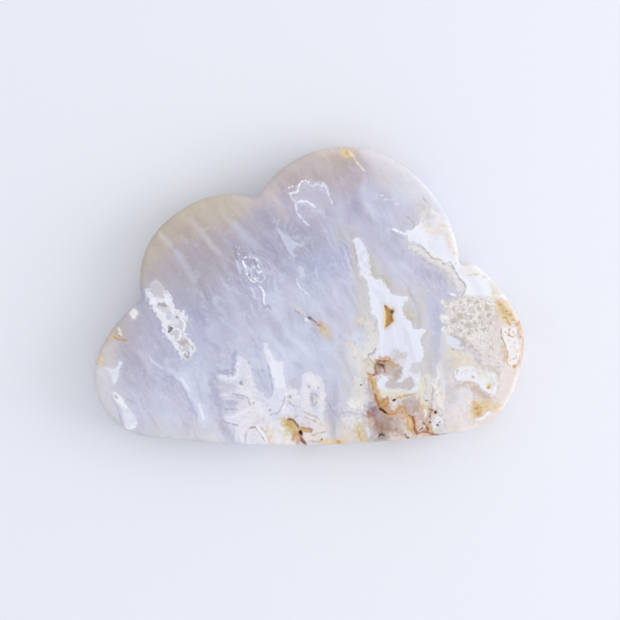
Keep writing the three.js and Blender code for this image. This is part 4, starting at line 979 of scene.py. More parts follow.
def right_edge_marks(lay):
    """The orange, gold and peach end with its white patch and brown line."""
    lay.stain("honey", 0.8, None, (30, -20), (31, -19.2), (35, -20), (34.6, -21), (32.4, -21.2),
              (31.6, -22.2), (30.4, -22))
    lay.stain("tan", 0.6, 0.7, (30.6, -13.6), (32.4, -13.2), (34.6, -13.8))
    lay.stain("tan", 0.7, 0.9, (29.6, -16.4), (32, -18.4), (33.6, -19))
    lay.patch("ochre", 0.9, (30.4, -20.3), (31, -19.9), (32.4, -20.2), (32.2, -20.8), (31.6, -21),
              (31.5, -21.6), (31, -22), (30.3, -20.8))
    lay.stain("gold", 0.6, 1.4, (30.6, -20.3), (31, -21.4))
    lay.fleck("rust", 0.7, (0.25, 0.15), (30.9, -20.7), (31.2, -20.1), (31, -21.5), (31.7, -20.6))
    lay.vein("white", 0.85, 0.55, (30.8, -22.6), (31.8, -22.5), (33.4, -21.3))
    lay.vein("pink", 0.7, 0.5, (31, -23.8), (32.5, -23.2), (34.3, -21.8))
    lay.stain("honey", 0.45, None, (34.4, -0.7), (35.6, -0.8), (36.6, -2.2), (37.6, -2.6), (38, -4),
              (36.4, -4.6), (35, -3.8))
    lay.stain("gold", 0.5, 0.8, (35, -1.4), (35.8, -2.8), (36.8, -3.2))
    lay.stain("cream", 0.6, 1.2, (36.6, -1.2), (38, -2.6), (38.8, -4))
    lay.dash("orange", 0.8, 0.4, (36.2, -4.3), (37.2, -5.5))
    lay.fleck("gold", 0.8, (0.4, 0.26), (35.2, -1.6), (36.4, -2.8), (37, -3.4), (36, -4), (37.6, -4.4))
    lay.spot("orange", 0.9, (0.35, 0.5), (38.3, -5.3))
    lay.fleck("rust", 1, 0.18, (38.7, -4.8))
    lay.patch("warm_white", 1, (35.4, -6.1), (36.4, -5.9), (36.6, -7.4), (37.2, -7.9), (38.2, -7.4),
              (38.8, -10), (37.8, -12.8), (36.6, -12.2), (36.5, -9.6), (35.8, -8.6))
    lay.patch("warm_white", 1, (37.1, -6.2), (37.8, -5.9), (38.2, -6.8), (37.4, -7.3))
    lay.dash("rust", 0.8, 0.2, (35.3, -6), (35.2, -7.2), (36.4, -9.6))
    lay.dash("orange", 0.8, 0.22, (36.5, -9.8), (36.5, -12.2), (37.2, -13))
    lay.stain("ochre", 0.5, 0.5, (35.8, -9), (36.2, -12))
    lay.dash("rust", 0.8, 0.2, (36.8, -5.9), (36.8, -7), (37.6, -7.6))
    lay.fleck("rust", 0.7, 0.15, (37, -6.1), (37.6, -6.7), (37.8, -7.1), (38.4, -8.3), (39, -8.9),
              (38.9, -10.6), (37.6, -11.6), (36.9, -10.9), (36, -6.6), (36.6, -7.3), (38.6, -11.9))
    lay.fleck("peach", 0.7, 0.24, (37.8, -8.6), (36.8, -8.2), (37.2, -9.4), (38.3, -10), (37.9, -11),
              (37, -11.9), (36.2, -6.9))
    lay.stain("ochre", 0.6, 0.5, (38.6, -4.6), (39.4, -8.4), (39.4, -11), (38.6, -12.8))
    lay.fleck("rust", 0.8, (0.18, 0.34), (38.8, -7.4))
    lay.fleck("brown", 0.7, (0.15, 0.3), (38, -11.3))
    lay.spot("ochre", 0.85, (0.3, 0.42), (37.8, -12.95))


def texture_masks(lay):
    """Where the lace, mottling, wisps, bands and unpolished stone show."""
    lay.mask("lace", 1, 0.5, (25.2, -0.8), (31, 0), (34.4, -1), (34.8, -4), (33.8, -7), (30.6, -7.6),
             (25.4, -7), (24.8, -4))
    lay.mask("lace", 0.7, 0.8, (29.6, -7.4), (34.6, -5.4), (35.4, -9), (35.6, -13), (34.8, -16.4),
             (33.4, -12.8))
    lay.mask("lace", 0.6, 0.6, (22.4, -14.6), (24, -15), (25.2, -20), (25.4, -23.6), (23.8, -25.2),
             (21.8, -24.4))
    lay.mask("mottle", 0.5, 1.2, (-13, -19.6), (-9, -19), (-7.6, -21.4), (-8.6, -26.8), (-12.6, -26.4))
    lay.mask("mottle", 0.6, 1, (-3.2, -17.6), (2.4, -17.4), (2.6, -22.6), (-1, -23.6), (-6, -23), (-5, -20.6))
    lay.mask("mottle", 0.7, 1.2, (7, -8), (12.4, -8), (12.6, -14), (11, -18), (6.6, -20), (6.4, -24),
             (11, -25.4), (10.6, -21))
    lay.mask("mottle", 0.7, 1, (13, -18), (20.6, -18), (25.6, -19.6), (25.8, -25.6), (19, -26.6), (12, -25))
    lay.mask("mottle", 0.6, 1, (28, -8.6), (33.6, -7.6), (35.6, -12), (28, -12))
    lay.mask("mottle", 0.6, 1, (28, -18.4), (32, -19), (34.6, -20), (31, -23.4), (28, -23))
    lay.mask("mottle", 0.25, 1, (18.4, 9.6), (22, 7.4), (23.4, 9), (20.4, 12), (18.4, 11.6))
    lay.mask("mottle", 0.5, 1, (-17, -14.6), (-10.6, -14.6), (-11, -18), (-16, -18))
    lay.mask("wispy", 1, 4, (-22, 4), (-8, 10), (-2, 14), (6, 12), (10, 4), (26, 4), (24, -26), (-30, -26),
             (-36, -20), (-34, -8), (-24, -6))
    lay.mask("wispy", 0.45, 3, (-24, 12), (-8, 18), (-6, 24), (8, 27), (20, 22), (18, 10), (-4, 8), (-22, 2))
    lay.mask("banded", 0.5, 1.5, (-14.5, 9), (-9, 9), (-5, 6), (-4.5, -1), (-7, -4), (-10, -2.5), (-14, 2))
    lay.mask("banded", 0.45, 1.5, (4, 11.5), (8, 11), (9.4, 6), (10, 1), (6, 1), (3.4, 6))
    lay.mask("banded", 0.4, 1.6, (-7, 15), (-3, 14), (0, 9), (-3, 5), (-7.5, 9))
    lay.mask("banded", 0.45, 1.6, (-30, -8), (-26, -10), (-20, -19), (-18, -25), (-24, -25), (-29, -15))
    lay.mask("banded", 0.45, 1.4, (-18, -13), (-10, -13), (-9, -20), (-14, -27), (-18, -24))
    lay.mask("banded", 0.5, 1.4, (17, 9), (21, 7), (25.6, 4), (27, 0), (23, 1), (18, 5))
    lay.mask("banded", 0.5, 1.4, (10, 18), (14, 16.6), (19, 12), (16, 9.5), (10.6, 13.5))
    for hollow in HOLLOWS:
        lay.mask("raw", 1, 0.15, *hollow.rim)
    for x, y, radius in PORES:
        lay.mask("raw", 1, 0.12, *oval(x, y, radius))


def gold_pocket_lining_and_shade(lay):
    """The gold lining of the deep pocket, paler down its left side, with painted shade in its brown corners
    and its darker amber right side.
    """
    lay.patch("gold", 1, *GOLD_POCKET.rim)
    lay.dash("gold", 0.9, 0.9, (14.2, -2.3), (14.6, -3.4), (14.3, -5.2))
    lay.dash("honey", 0.8, 0.5, (14, -2.8), (14, -5.6))
    # Painted shade: the brown and dark brown corners and the amber strip down the pocket's right side.
    lay.dash("brown", 0.8, 0.34, (13.8, -1.8), (14.3, -2.2))
    lay.fleck("dark_brown", 0.9, (0.34, 0.26), (15.3, -2.9))
    lay.dash("amber", 0.8, 0.34, (15.3, -3.2), (15.2, -4.8))


def all_marks():
    """Every marking on the stone, in the order they are laid down."""
    marks = Marks()
    for part in (ground_washes, soft_streaks, soft_clouds, broad_hazes, late_clouds, upper_left_marks,
                 top_lobe_marks, centre_top_marks, white_river, right_white_marks, crystal_pocket_marks_and_glints,
                 left_plume, left_lobe_marks, dark_branch, white_plume, amber_crack, lower_middle_marks,
                 brown_corner_tints, loose_tints, brown_corner, right_columns, late_tints, lace_marks,
                 right_edge_marks, texture_masks, gold_pocket_lining_and_shade):
        part(marks)
    return marks


def rounded(points, closed, steps=3):
    """A smooth curve through the points, as a finer polyline."""
    points = np.asarray(points, float)
    if len(points) < 3:
        return points
    if closed:
        before, after, beyond = (np.roll(points, k, 0) for k in (1, -1, -2))
    else:
        before = np.vstack([points[:1], points[:-2]])
        after = points[1:]
        beyond = np.vstack([points[2:], points[-1:]])
        points = points[:-1]
    pieces = []
    for t in np.arange(steps) / steps:
        a = -0.5 * t + t**2 - 0.5 * t**3
        b = 1 - 2.5 * t**2 + 1.5 * t**3
        c = 0.5 * t + 2 * t**2 - 1.5 * t**3
        d = -0.5 * t**2 + 0.5 * t**3
        pieces.append(a * before + b * points + c * after + d * beyond)
    curve = np.stack(pieces, 1).reshape(-1, 2)
    return curve if closed else np.vstack([curve, after[-1:]])


def distance_to(path, places, closed):
    """Each place's distance to a polyline, and how far along it the nearest point is, from 0 to 1."""
    starts = path if closed else path[:-1]
    ends = np.roll(path, -1, 0) if closed else path[1:]
    lengths = np.hypot(*(ends - starts).T)
    run = np.concatenate([[0], np.cumsum(lengths)])
    best = np.full(len(places), np.inf)
    along = np.zeros(len(places))
    for start, end, length, done in zip(starts, ends, lengths, run):
        if length < 1e-9:
            continue
        way = (end - start) / length
        t = np.clip((places - start) @ way, 0, length)
        gap = np.hypot(places[:, 0] - start[0] - t * way[0], places[:, 1] - start[1] - t * way[1])
        closer = gap < best
        best[closer] = gap[closer]
        along[closer] = (done + t[closer]) / run[-1]
    return best, along


def inside(path, places):
    """Which places lie inside a closed polyline."""
    within = np.zeros(len(places), bool)
    x, y = places.T
    for (x0, y0), (x1, y1) in zip(path, np.roll(path, -1, 0)):
        if y0 != y1:
            crosses = (y0 > y) != (y1 > y)
            within ^= crosses & (x < (x1 - x0) * (y - y0) / (y1 - y0) + x0)
    return within


def depth_inside(points, width, places):
    """How deep each place lies inside a shape, in millimetres, less than nothing outside it."""
    closed = width is None
    path = rounded(points, closed)
    gap, along = distance_to(path, places, closed)
    if closed:
        return np.where(inside(path, places), gap, -gap)
    taper = np.minimum(1, LINE_END + LINE_WIDENING * np.minimum(along, 1 - along))
    return width / 2 * taper - gap


def near(points, margin, places):
    """The places within a margin of a shape's own box."""
    points = np.asarray(points, float)
    low = points.min(0) - margin
    high = points.max(0) + margin
    return np.flatnonzero(((places > low) & (places < high)).all(1))


def ripple(places, wavelength, seed):
    """Smooth noise from minus one to one: a sum of plane waves in random directions."""
    draw = np.random.default_rng(seed)
    total = np.zeros(len(places))
    waves = 9
    for _ in range(waves):
        turn = draw.uniform(0, math.tau)
        size = math.tau / wavelength * draw.uniform(0.7, 1.4)
        way = np.array([math.cos(turn), math.sin(turn)]) * size
        total += np.cos(places @ way + draw.uniform(0, math.tau))
    return total / math.sqrt(waves * 2)


def shaken(places, wavelength, reach, seed):
    """The places, each moved a little by smooth noise."""
    return places + reach * np.column_stack([ripple(places, wavelength, seed + k) for k in (0, 1)])


def ramp(low, high, value):
    """A smooth step from 0 at low to 1 at high."""
    t = np.clip((value - low) / (high - low), 0, 1)
    return t * t * (3 - 2 * t)


def linear(colour):
    """A palette colour as linear light."""
    value = np.array(PALETTE[colour]) / 255
    return np.where(value <= 0.04045, value / 12.92, ((value + 0.055) / 1.055) ** 2.4)


def tint(colour):
    """A palette colour for a shader's socket."""
    return (*linear(colour), 1)


def ground_colour(marks, places):
    """The soft ground: washes melted together, then the hazy streaks and clouds over them."""
    total = np.zeros((len(places), 3))
    weight = np.full(len(places), 1e-12)
    for colour, radius, place in marks.washes:
        gap = np.hypot(*(places - place).T)
        share = np.exp(-((gap / radius) ** 2)) + 1e-6 / (1 + gap**2)
        total += share[:, None] * linear(colour)
        weight += share
    ground = total / weight[:, None]
    lay_soft(marks.hazes, ground, places)
    return ground


def lay_soft(parts, colours, places):
    """Lays soft marks one over another on colours that are there, and returns how much they cover."""
    covered = np.zeros(len(places))
    for name, strength, width, blur, points, closed in parts:
        at = near(points, width / 2 + blur * 2.5, places)
        deep = depth_inside(points, None if closed else width, places[at])
        cover = strength * ramp(-blur * FADE_OUT, blur * FADE_IN, deep)
        colours[at] += cover[:, None] * (linear(name) - colours[at])
        covered[at] += cover * (1 - covered[at])
    return covered


def stain_values(marks, places):
    """The stains' colour and strength at each place."""
    colours = np.zeros((len(places), 3))
    covered = lay_soft(marks.stains, colours, shaken(places, *STAIN_SHAKE))
    return np.column_stack([colours / np.maximum(covered, 1e-6)[:, None], covered])


def layer_values(layer, places):
    """For one layer: each place's colour, strength and depth inside the nearest mark."""
    far = 1.5
    deep = np.full(len(places), -far)
    colour = np.ones((len(places), 4))
    for name, strength, width, points in layer:
        at = near(points, far + (width or 0), places)
        value = depth_inside(points, width, places[at])
        wins = value > deep[at]
        won = at[wins]
        deep[won] = value[wins]
        colour[won, :3] = linear(name)
        colour[won, 3] = strength
    return colour, deep


def mask_values(parts, places):
    """How strongly a texture shows at each place, from 0 to 1."""
    total = np.zeros(len(places))
    for strength, blur, points in parts:
        at = near(points, blur * 2, places)
        cover = strength * ramp(-blur, blur, depth_inside(points, None, places[at]))
        total[at] = np.maximum(total[at], cover)
    return total


def crystals(places):
    """Small pyramids that stand up from the floor of the crystal pocket, in millimetres."""
    draw = np.random.default_rng(CRYSTAL_SEED)
    low, high = np.min(CRYSTAL_POCKET.rim, 0), np.max(CRYSTAL_POCKET.rim, 0)
    height = np.zeros(len(places))
    for _ in range(CRYSTAL_COUNT):
        x, y = draw.uniform(low, high)
        top = draw.uniform(*CRYSTAL_HEIGHTS)
        turn = draw.uniform(0, math.tau)
        lean = draw.uniform(-CRYSTAL_LEAN, CRYSTAL_LEAN, 2)
        across, along = places[:, 0] - x, places[:, 1] - y
        turns = [turn + k * math.tau / CRYSTAL_SIDES for k in range(CRYSTAL_SIDES)]
        sides = [across * math.cos(t) + along * math.sin(t) for t in turns]
        slopes = CRYSTAL_SLOPE * np.max(sides, 0)
        height = np.maximum(height, top - slopes + lean[0] * across + lean[1] * along)
    return height


def hollow_depth(places):
    """How far the polished face sinks at each place, in millimetres."""
    sink = np.zeros(len(places))
    for hollow in HOLLOWS:
        at = near(hollow.rim, ROUNDING_MARGIN, places)
        within = depth_inside(hollow.rim, None, places[at])
        floor = hollow.depth * ramp(-HOLLOW_LIP, hollow.wall, within)
        if hollow is CRYSTAL_POCKET:
            floor = np.maximum(floor - crystals(places[at]) * (floor > CRYSTAL_FLOOR), 0)
        sink[at] = np.maximum(sink[at], floor)
    at = near(FISSURE_ROUTE, FISSURE_WIDTH, places)
    within = depth_inside(FISSURE_ROUTE, FISSURE_WIDTH, places[at])
    sink[at] = np.maximum(sink[at], FISSURE_DEPTH * ramp(0, FISSURE_WIDTH * FISSURE_WALL, within))
    for x, y, radius in PORES:
        start, end = (radius * share for share in PORE_WALL)
        at = near([(x, y)], end, places)
        gap = np.hypot(*(places[at] - (x, y)).T)
        sink[at] = np.maximum(sink[at], PORE_DEPTH * (1 - ramp(start, end, gap)))
    return sink


def solid_outline():
    """The slab's widest outline in order, in millimetres, from the ring halfway up its solid."""
    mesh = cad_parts[NODE].data
    low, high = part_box(NODE)
    middle = (low.z + high.z) / 2
    at = {v.index: (round(v.co.x / MM, 4), round(v.co.y / MM, 4)) for v in mesh.vertices
          if abs(v.co.z - middle) < 0.01 * MM}
    beside = {}
    for edge in mesh.edges:
        a, b = edge.vertices
        if a in at and b in at and at[a] != at[b]:
            beside.setdefault(at[a], set()).add(at[b])
            beside.setdefault(at[b], set()).add(at[a])
    start = min(beside)
    ring = [start, min(beside[start])]
    while True:
        onward = beside[ring[-1]] - {ring[-2]}
        step = min(onward)
        if step == start:
            break
        ring.append(step)
    ring = np.array(ring)
    x, y = ring.T
    turning = (x * np.roll(y, -1) - y * np.roll(x, -1)).sum()
    return ring if turning > 0 else ring[::-1]


def even_ring(ring, spacing):
    """The outline as evenly spaced points on a smooth curve, and the outward direction at each."""
    steps = 8
    onward = np.roll(ring, -1, 0) - ring
    gap = np.hypot(*onward.T)[:, None]
    slope = onward / gap
    gap_before, slope_before = np.roll(gap, 1, 0), np.roll(slope, 1, 0)
    way = (slope * gap_before + slope_before * gap) / (gap + gap_before)
    t = (np.arange(steps) / steps)[None, :, None]
    start, end = ring[:, None], np.roll(ring, -1, 0)[:, None]
    pull, push = (way * gap)[:, None], (np.roll(way, -1, 0) * gap)[:, None]
    curve = ((2 * t**3 - 3 * t**2 + 1) * start + (t**3 - 2 * t**2 + t) * pull
             + (3 * t**2 - 2 * t**3) * end + (t**3 - t**2) * push).reshape(-1, 2)
    closed = np.vstack([curve, curve[:1]])
    run = np.concatenate([[0], np.cumsum(np.hypot(*np.diff(closed, axis=0).T))])
    count = round(run[-1] / spacing)
    at = np.arange(count) / count * run[-1]
    points = np.stack([np.interp(at, run, closed[:, k]) for k in (0, 1)], 1)
    way = np.roll(points, -1, 0) - np.roll(points, 1, 0)
    outward = np.stack([way[:, 1], -way[:, 0]], 1)
    return points, outward / np.hypot(*outward.T)[:, None]


def rim_section(shape, thickness):
    """The rim from the face to the back, as pairs of inset and height in millimetres."""
    middle = thickness / 2
    reach = shape.rim_crown - shape.edge_rounding
    lean = math.asin((middle - shape.edge_rounding) / reach)
    centre = shape.rim_crown - reach * math.cos(lean)
    section = []
    for step in range(shape.rounding_rings):
        turn = math.pi / 2 + (lean - math.pi / 2) * step / shape.rounding_rings
        section.append((centre - shape.edge_rounding * math.cos(turn),
                        middle - shape.edge_rounding + shape.edge_rounding * math.sin(turn)))
    for step in range(shape.side_rings):
        turn = lean * (1 - step / shape.side_rings)
        section.append((shape.rim_crown * (1 - math.cos(turn)), shape.rim_crown * math.sin(turn)))
    below = [(inset, -height) for inset, height in reversed(section)]
    return [(inset, middle + height) for inset, height in [*section, (0, 0), *below]]


def face_points(boundary, spacing):
    """Staggered rows of points inside a face's boundary."""
    low, high = boundary.min(0), boundary.max(0)
    rows = np.arange(low[1], high[1], spacing * math.sqrt(3) / 2)
    columns = np.arange(low[0], high[0], spacing)
    x, y = np.meshgrid(columns, rows)
    x = x + (np.arange(len(rows)) % 2)[:, None] * spacing / 2
    places = np.stack([x.ravel(), y.ravel()], 1)
    places = places[inside(boundary, places)]
    gap, _ = distance_to(boundary, places, True)
    return places[gap > spacing * 0.55]


def filled(boundary, interior):
    """The triangles of a flat face, counter-clockwise, over its boundary points and then its inner ones."""
    points = np.vstack([boundary, interior])
    count = len(boundary)
    edges = [(k, (k + 1) % count) for k in range(count)]
    _, _, faces, sources, _, _ = delaunay_2d_cdt([Vector(p) for p in points.tolist()], edges, [], 1, 1e-6)
    triangles = np.array([[sources[k][0] for k in face] for face in faces])
    a, b, c = (points[triangles[:, k]] for k in range(3))
    clockwise = np.cross(b - a, c - a) < 0
    triangles[clockwise] = triangles[clockwise][:, ::-1]
    return triangles


def slab_mesh(shape):
    """The slab's vertices in millimetres, its faces and its thickness."""
    low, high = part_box(NODE)
    thickness = (high.z - low.z) / MM
    ring, outward = even_ring(solid_outline(), shape.rim_spacing)
    count = len(ring)
    section = rim_section(shape, thickness)
    rings = [np.column_stack([ring - outward * inset, np.full(count, height)]) for inset, height in section]
    faces = []
    for level in range(len(rings) - 1):
        upper, lower = level * count, (level + 1) * count
        faces.extend([upper + k, lower + k, lower + (k + 1) % count, upper + (k + 1) % count]
                     for k in range(count))
    vertices = np.vstack(rings)
    for ring_index, spacing, height, upward in ((0, shape.face_spacing, thickness, True),
                                                (len(rings) - 1, shape.back_spacing, 0, False)):
        boundary = rings[ring_index][:, :2]
        interior = face_points(boundary, spacing)
        triangles = filled(boundary, interior)
        if not upward:
            triangles = triangles[:, ::-1]
        names = np.concatenate([ring_index * count + np.arange(count),
                                len(vertices) + np.arange(len(interior))])
        faces.extend(names[triangles].tolist())
        vertices = np.vstack([vertices, np.column_stack([interior, np.full(len(interior), height)])])
    return vertices, faces, thickness


def pattern_places(vertices, thickness):
    """Where each vertex lies in the markings, which lean and waver as they go down through the slab."""
    below = (thickness - vertices[:, 2])[:, None]
    flat = vertices[:, :2]
    waver = np.stack([ripple(flat + WAVER_DEPTH * below, WAVER_LENGTH, seed) for seed in WAVER_SEEDS], 1)
    places = flat - np.array(PATTERN_LEAN) * below + waver * (below / thickness) * WAVER_REACH
    for shake in SHAKES:
        places = shaken(places, *shake)
    return places


def flow_places(places, vertices, thickness):
    """Coordinates across and along the stone's grain, which slants right and stands up at the lower right."""
    x, y = places.T
    lean = GRAIN_LEAN - GRAIN_UPRIGHT * ramp(*UPRIGHT_X, x) * ramp(*UPRIGHT_Y, y)
    across = x + lean * y + BEND_REACH * ripple(places, BEND_LENGTH, BEND_SEED)
    along = (y - lean * x) / GRAIN_STRETCH
    below = thickness - vertices[:, 2]
    return np.column_stack([across, along, GRAIN_DEPTH * below]) * MM


def store(mesh, name, kind, field, values):
    """Keeps one value, vector or colour for each vertex."""
    kept = mesh.attributes.new(name, kind, "POINT")
    kept.data.foreach_set(field, values.astype(np.float32).ravel())


class Nodes:
    """Adds shader nodes to one material and links them."""

    def __init__(self, name):
        self.material = bpy.data.materials.new(name)
        self.material.use_nodes = True
        self.tree = self.material.node_tree
        self.tree.nodes.clear()

    def add(self, kind, settings=None, **inputs):
        """A node, with plain settings and with inputs that are either values or other nodes' outputs."""
        node = self.tree.nodes.new(kind)
        for key, value in (settings or {}).items():
            setattr(node, key, value)
        for key, value in inputs.items():
            self.feed(node.inputs[key.replace("_", " ")], value)
        return node

    def feed(self, socket, value):
        """Sets a socket, or links it."""
        if isinstance(value, bpy.types.NodeSocket):
            self.tree.links.new(value, socket)
        else:
            socket.default_value = value

    def surface(self, shader):
        """Ends the material with its shader."""
        out = self.add("ShaderNodeOutputMaterial")
        self.tree.links.new(shader.outputs[0], out.inputs["Surface"])

    def math(self, operation, *values):
        """A Math node's result."""
        node = self.add("ShaderNodeMath", {"operation": operation})
        for socket, value in zip(node.inputs, values):
            self.feed(socket, value)
        return node.outputs[0]

    def times(self, first, second):
        """One value times another."""
        return self.math("MULTIPLY", first, second)

    def swing(self, value, reach, middle):
        """A noise's value, spread to both sides of a middle value."""
        return self.math("MULTIPLY_ADD", self.math("SUBTRACT", value, 0.5), reach, middle)

    def step(self, value, low, high):
        """A smooth step of a value."""
        node = self.add("ShaderNodeMapRange", {"interpolation_type": "SMOOTHSTEP"})
        self.feed(node.inputs["Value"], value)
        self.feed(node.inputs["From Min"], low)
        self.feed(node.inputs["From Max"], high)
        return node.outputs[0]

    def shown(self, value, detail, mask):
        """How much a detail covers within a mask, by a smooth step of a value."""
        low, high, most = detail
        return self.times(self.step(value, low, high), self.times(mask, most))

    def shown_between(self, first, second, detail, mask):
        """How much a detail covers within a mask, by smooth steps of two values."""
        rise, fall, most = detail
        both = self.times(self.step(first, *rise), self.step(second, *fall))
        return self.times(both, self.times(mask, most))

    def mix(self, share, under, over):
        """Two colours mixed."""
        node = self.add("ShaderNodeMix", {"data_type": "RGBA"})
        self.feed(node.inputs[0], share)
        self.feed(node.inputs[6], under)
        self.feed(node.inputs[7], over)
        return node.outputs[2]

    def kept(self, name, output="Fac"):
        """A value stored on the mesh."""
        node = self.add("ShaderNodeAttribute", {"attribute_name": name, "attribute_type": "GEOMETRY"})
        return node.outputs[output]

    def noise(self, vector, per_mm, detail=3.0, roughness=0.55, swirl=0.0):
        """A noise texture's value, by its number of features a millimetre."""
        made = self.add("ShaderNodeTexNoise", Vector=vector, Scale=per_mm / MM, Detail=detail,
                        Roughness=roughness, Distortion=swirl)
        return made.outputs[0]

    def scaled(self, colour, factor):
        """A colour times a number or times another colour."""
        by_colour = isinstance(factor, tuple)
        node = self.add("ShaderNodeVectorMath", {"operation": "MULTIPLY" if by_colour else "SCALE"})
        self.feed(node.inputs[0], colour)
        self.feed(node.inputs[1 if by_colour else 3], factor)
        return node.outputs[0]


def agate_material(look):
    """Agate: a wispy soft ground, crisp layers over it, curly and lacy details, and a polished gloss."""
    n = Nodes("agate")
    place = n.add("ShaderNodeTexCoord").outputs["Object"]
    flow = n.kept("flow", "Vector")
    broad = n.noise(flow, *BROAD_CLOUDS)
    fine = n.noise(place, *FINE_CLOUDS)
    rough_edge = n.math("SUBTRACT", n.noise(place, *RAGGED_EDGES), 0.5)
    colour = banded(n, wispy_ground(n, look, place, flow, broad, fine), flow)
    for name, ragged, soft in LAYERS:
        if name == "veins":
            colour = lace_over(n, curly(n, colour, place), place)
            colour = stained(n, colour, rough_edge)
        deep = n.math("MULTIPLY_ADD", rough_edge, ragged, n.kept(name + "_depth"))
        colour = crisp(n, colour, name, deep, soft, broad, fine)
    raw = n.kept("raw")
    dulled = n.math("MULTIPLY_ADD", raw, RAW_ROUGHNESS, look.gloss_roughness)
    rough = n.swing(fine, ROUGHNESS_SWING, dulled)
    bump = n.add("ShaderNodeBump", Strength=n.times(raw, RAW_BUMP_STRENGTH), Distance=RAW_BUMP * MM,
                 Height=n.noise(place, *RAW_GRAIN)).outputs[0]
    n.surface(n.add("ShaderNodeBsdfPrincipled", Base_Color=n.scaled(colour, look.albedo_gain),
                    Roughness=rough, IOR=AGATE_IOR, Subsurface_Weight=look.translucency,
                    Subsurface_Scale=SCATTER_DEPTH * MM, Subsurface_Radius=SCATTER_TINT, Normal=bump))
    return n.material


def wispy_ground(n, look, place, flow, broad, fine):
    """The soft ground with clouds, pale and dark wisps along the grain and small pale clots."""
    light = n.swing(broad, look.cloudiness, 1)
    light = n.swing(fine, look.cloudiness * FINE_SHARE, light)
    ground = n.scaled(n.kept("ground", "Color"), light)
    wispy = n.kept("wispy")
    wisp = n.noise(flow, *WISPS)
    pale = n.mix(0.5, n.scaled(ground, 1.1), tint("pale_ice"))
    ground = n.mix(n.shown(wisp, PALE_WISPS, wispy), ground, pale)
    ground = n.mix(n.shown(wisp, DARK_WISPS, wispy), ground, n.scaled(ground, SHADE))
    return n.mix(n.shown(n.noise(place, *CLOTS), PALE_CLOTS, wispy), ground, tint("ice"))


def banded(n, colour, flow):
    """Fine pale and dark lines that run alongside each other where the agate is banded."""
    lines = n.math("PINGPONG", n.times(n.noise(flow, *BANDS), LINE_COUNT), 0.5)
    mask = n.kept("banded")
    colour = n.mix(n.shown(lines, PALE_LINES, mask), colour, tint("ice"))
    return n.mix(n.shown(lines, DARK_LINES, mask), colour, n.scaled(colour, BAND_SHADE))


def curly(n, colour, place):
    """Rounded white islands with thin brownish outlines and greyish windows, in the worm-like lower edge."""
    mask = n.kept("mottle")
    isles = n.noise(place, *ISLES)
    fill = n.mix(n.step(n.noise(place, *ISLE_COLOURS), 0.44, 0.56), tint("milk"), tint("blush_white"))
    colour = n.mix(n.shown(isles, ISLE_BODIES, mask), colour, fill)
    colour = n.mix(n.shown_between(isles, isles, ISLE_OUTLINES, mask), colour, tint("mauve_brown"))
    return n.mix(n.shown(isles, ISLE_WINDOWS, mask), colour, tint("mist"))


def lace_over(n, colour, place):
    """Fine lace: cream threads between cells of mixed sizes, some of them grey and the others cream."""
    scale, reach = LACE_SHAKE
    shake = n.add("ShaderNodeTexNoise", Vector=place, Scale=scale / MM, Detail=3.0).outputs["Color"]
    moved = n.add("ShaderNodeVectorMath", {"operation": "MULTIPLY_ADD"})
    for socket, value in zip(moved.inputs, (shake, (reach * MM,) * 3, place)):
        n.feed(socket, value)
    lace = n.kept("lace")
    for per_mm, share in LACE_SIZES:
        size = {"Vector": moved.outputs[0], "Scale": per_mm / MM}
        cells = n.add("ShaderNodeTexVoronoi", **size).outputs["Color"]
        apart = n.add("ShaderNodeTexVoronoi", {"feature": "DISTANCE_TO_EDGE"}, **size).outputs["Distance"]
        grey = n.shown_between(cells, apart, ((0.4, 0.48), (0.08, 0.14), share), lace)
        colour = n.mix(grey, colour, tint("greige"))
        colour = n.mix(n.shown(apart, (0.07, 0.02, share), lace), colour, tint("pale_cream"))
        colour = n.mix(n.shown_between(apart, apart, LACE_RIMS, lace), colour, tint("taupe"))
    return colour


def stained(n, colour, rough_edge):
    """The soft stains, patchy in strength and in lightness."""
    patchy = n.math("MULTIPLY_ADD", rough_edge, STAIN_PATCHINESS, 1)
    lightness = n.math("MULTIPLY_ADD", rough_edge, STAIN_SHADING, 1)
    share = n.times(n.kept("stains", "Alpha"), patchy)
    return n.mix(share, colour, n.scaled(n.kept("stains", "Color"), lightness))


def crisp(n, colour, name, deep, soft, broad, fine):
    """One crisp layer over the colour, the larger marks with a glow round them and darker hearts."""
    over = n.kept(name, "Color")
    share = n.kept(name, "Alpha")
    if name == "areas":
        colour = n.mix(n.shown_between(deep, fine, AREA_RIMS, share), colour, tint("taupe"))
    if name in ("areas", "patches"):
        colour = n.mix(n.shown(deep, GLOW, share), colour, over)
        inner = n.times(n.step(deep, 0.25, 1.0), n.step(broad, 0.6, 0.42))
        over = n.mix(n.times(inner, 0.45), over, n.scaled(over, WINDOW_SHADE))
    return n.mix(n.times(n.step(deep, -soft, soft), share), colour, over)


class AgateShape(bpy.types.PropertyGroup):
    """Sizes of the slab's fine mesh."""

    edge_rounding: FloatProperty(
        name="Edge rounding", description="Radius of the rounded edges, in millimetres", default=0.9, min=0.3,
        max=2)
    rim_crown: FloatProperty(
        name="Rim crown", description="Radius of the rim's slight bulge, in millimetres", default=26, min=8)
    rounding_rings: IntProperty(
        name="Rounding rings", description="Rings of points over each rounded edge", default=5, min=2)
    side_rings: IntProperty(
        name="Side rings", description="Rings of points over half the rim's height", default=5, min=2)
    rim_spacing: FloatProperty(
        name="Rim spacing", description="Distance between points round the rim, in millimetres", default=0.34,
        min=0.2)
    face_spacing: FloatProperty(
        name="Face spacing", description="Distance between points on the face, in millimetres", default=0.235,
        min=0.15)
    back_spacing: FloatProperty(
        name="Back spacing", description="Distance between points on the back, in millimetres", default=0.62,
        min=0.2)


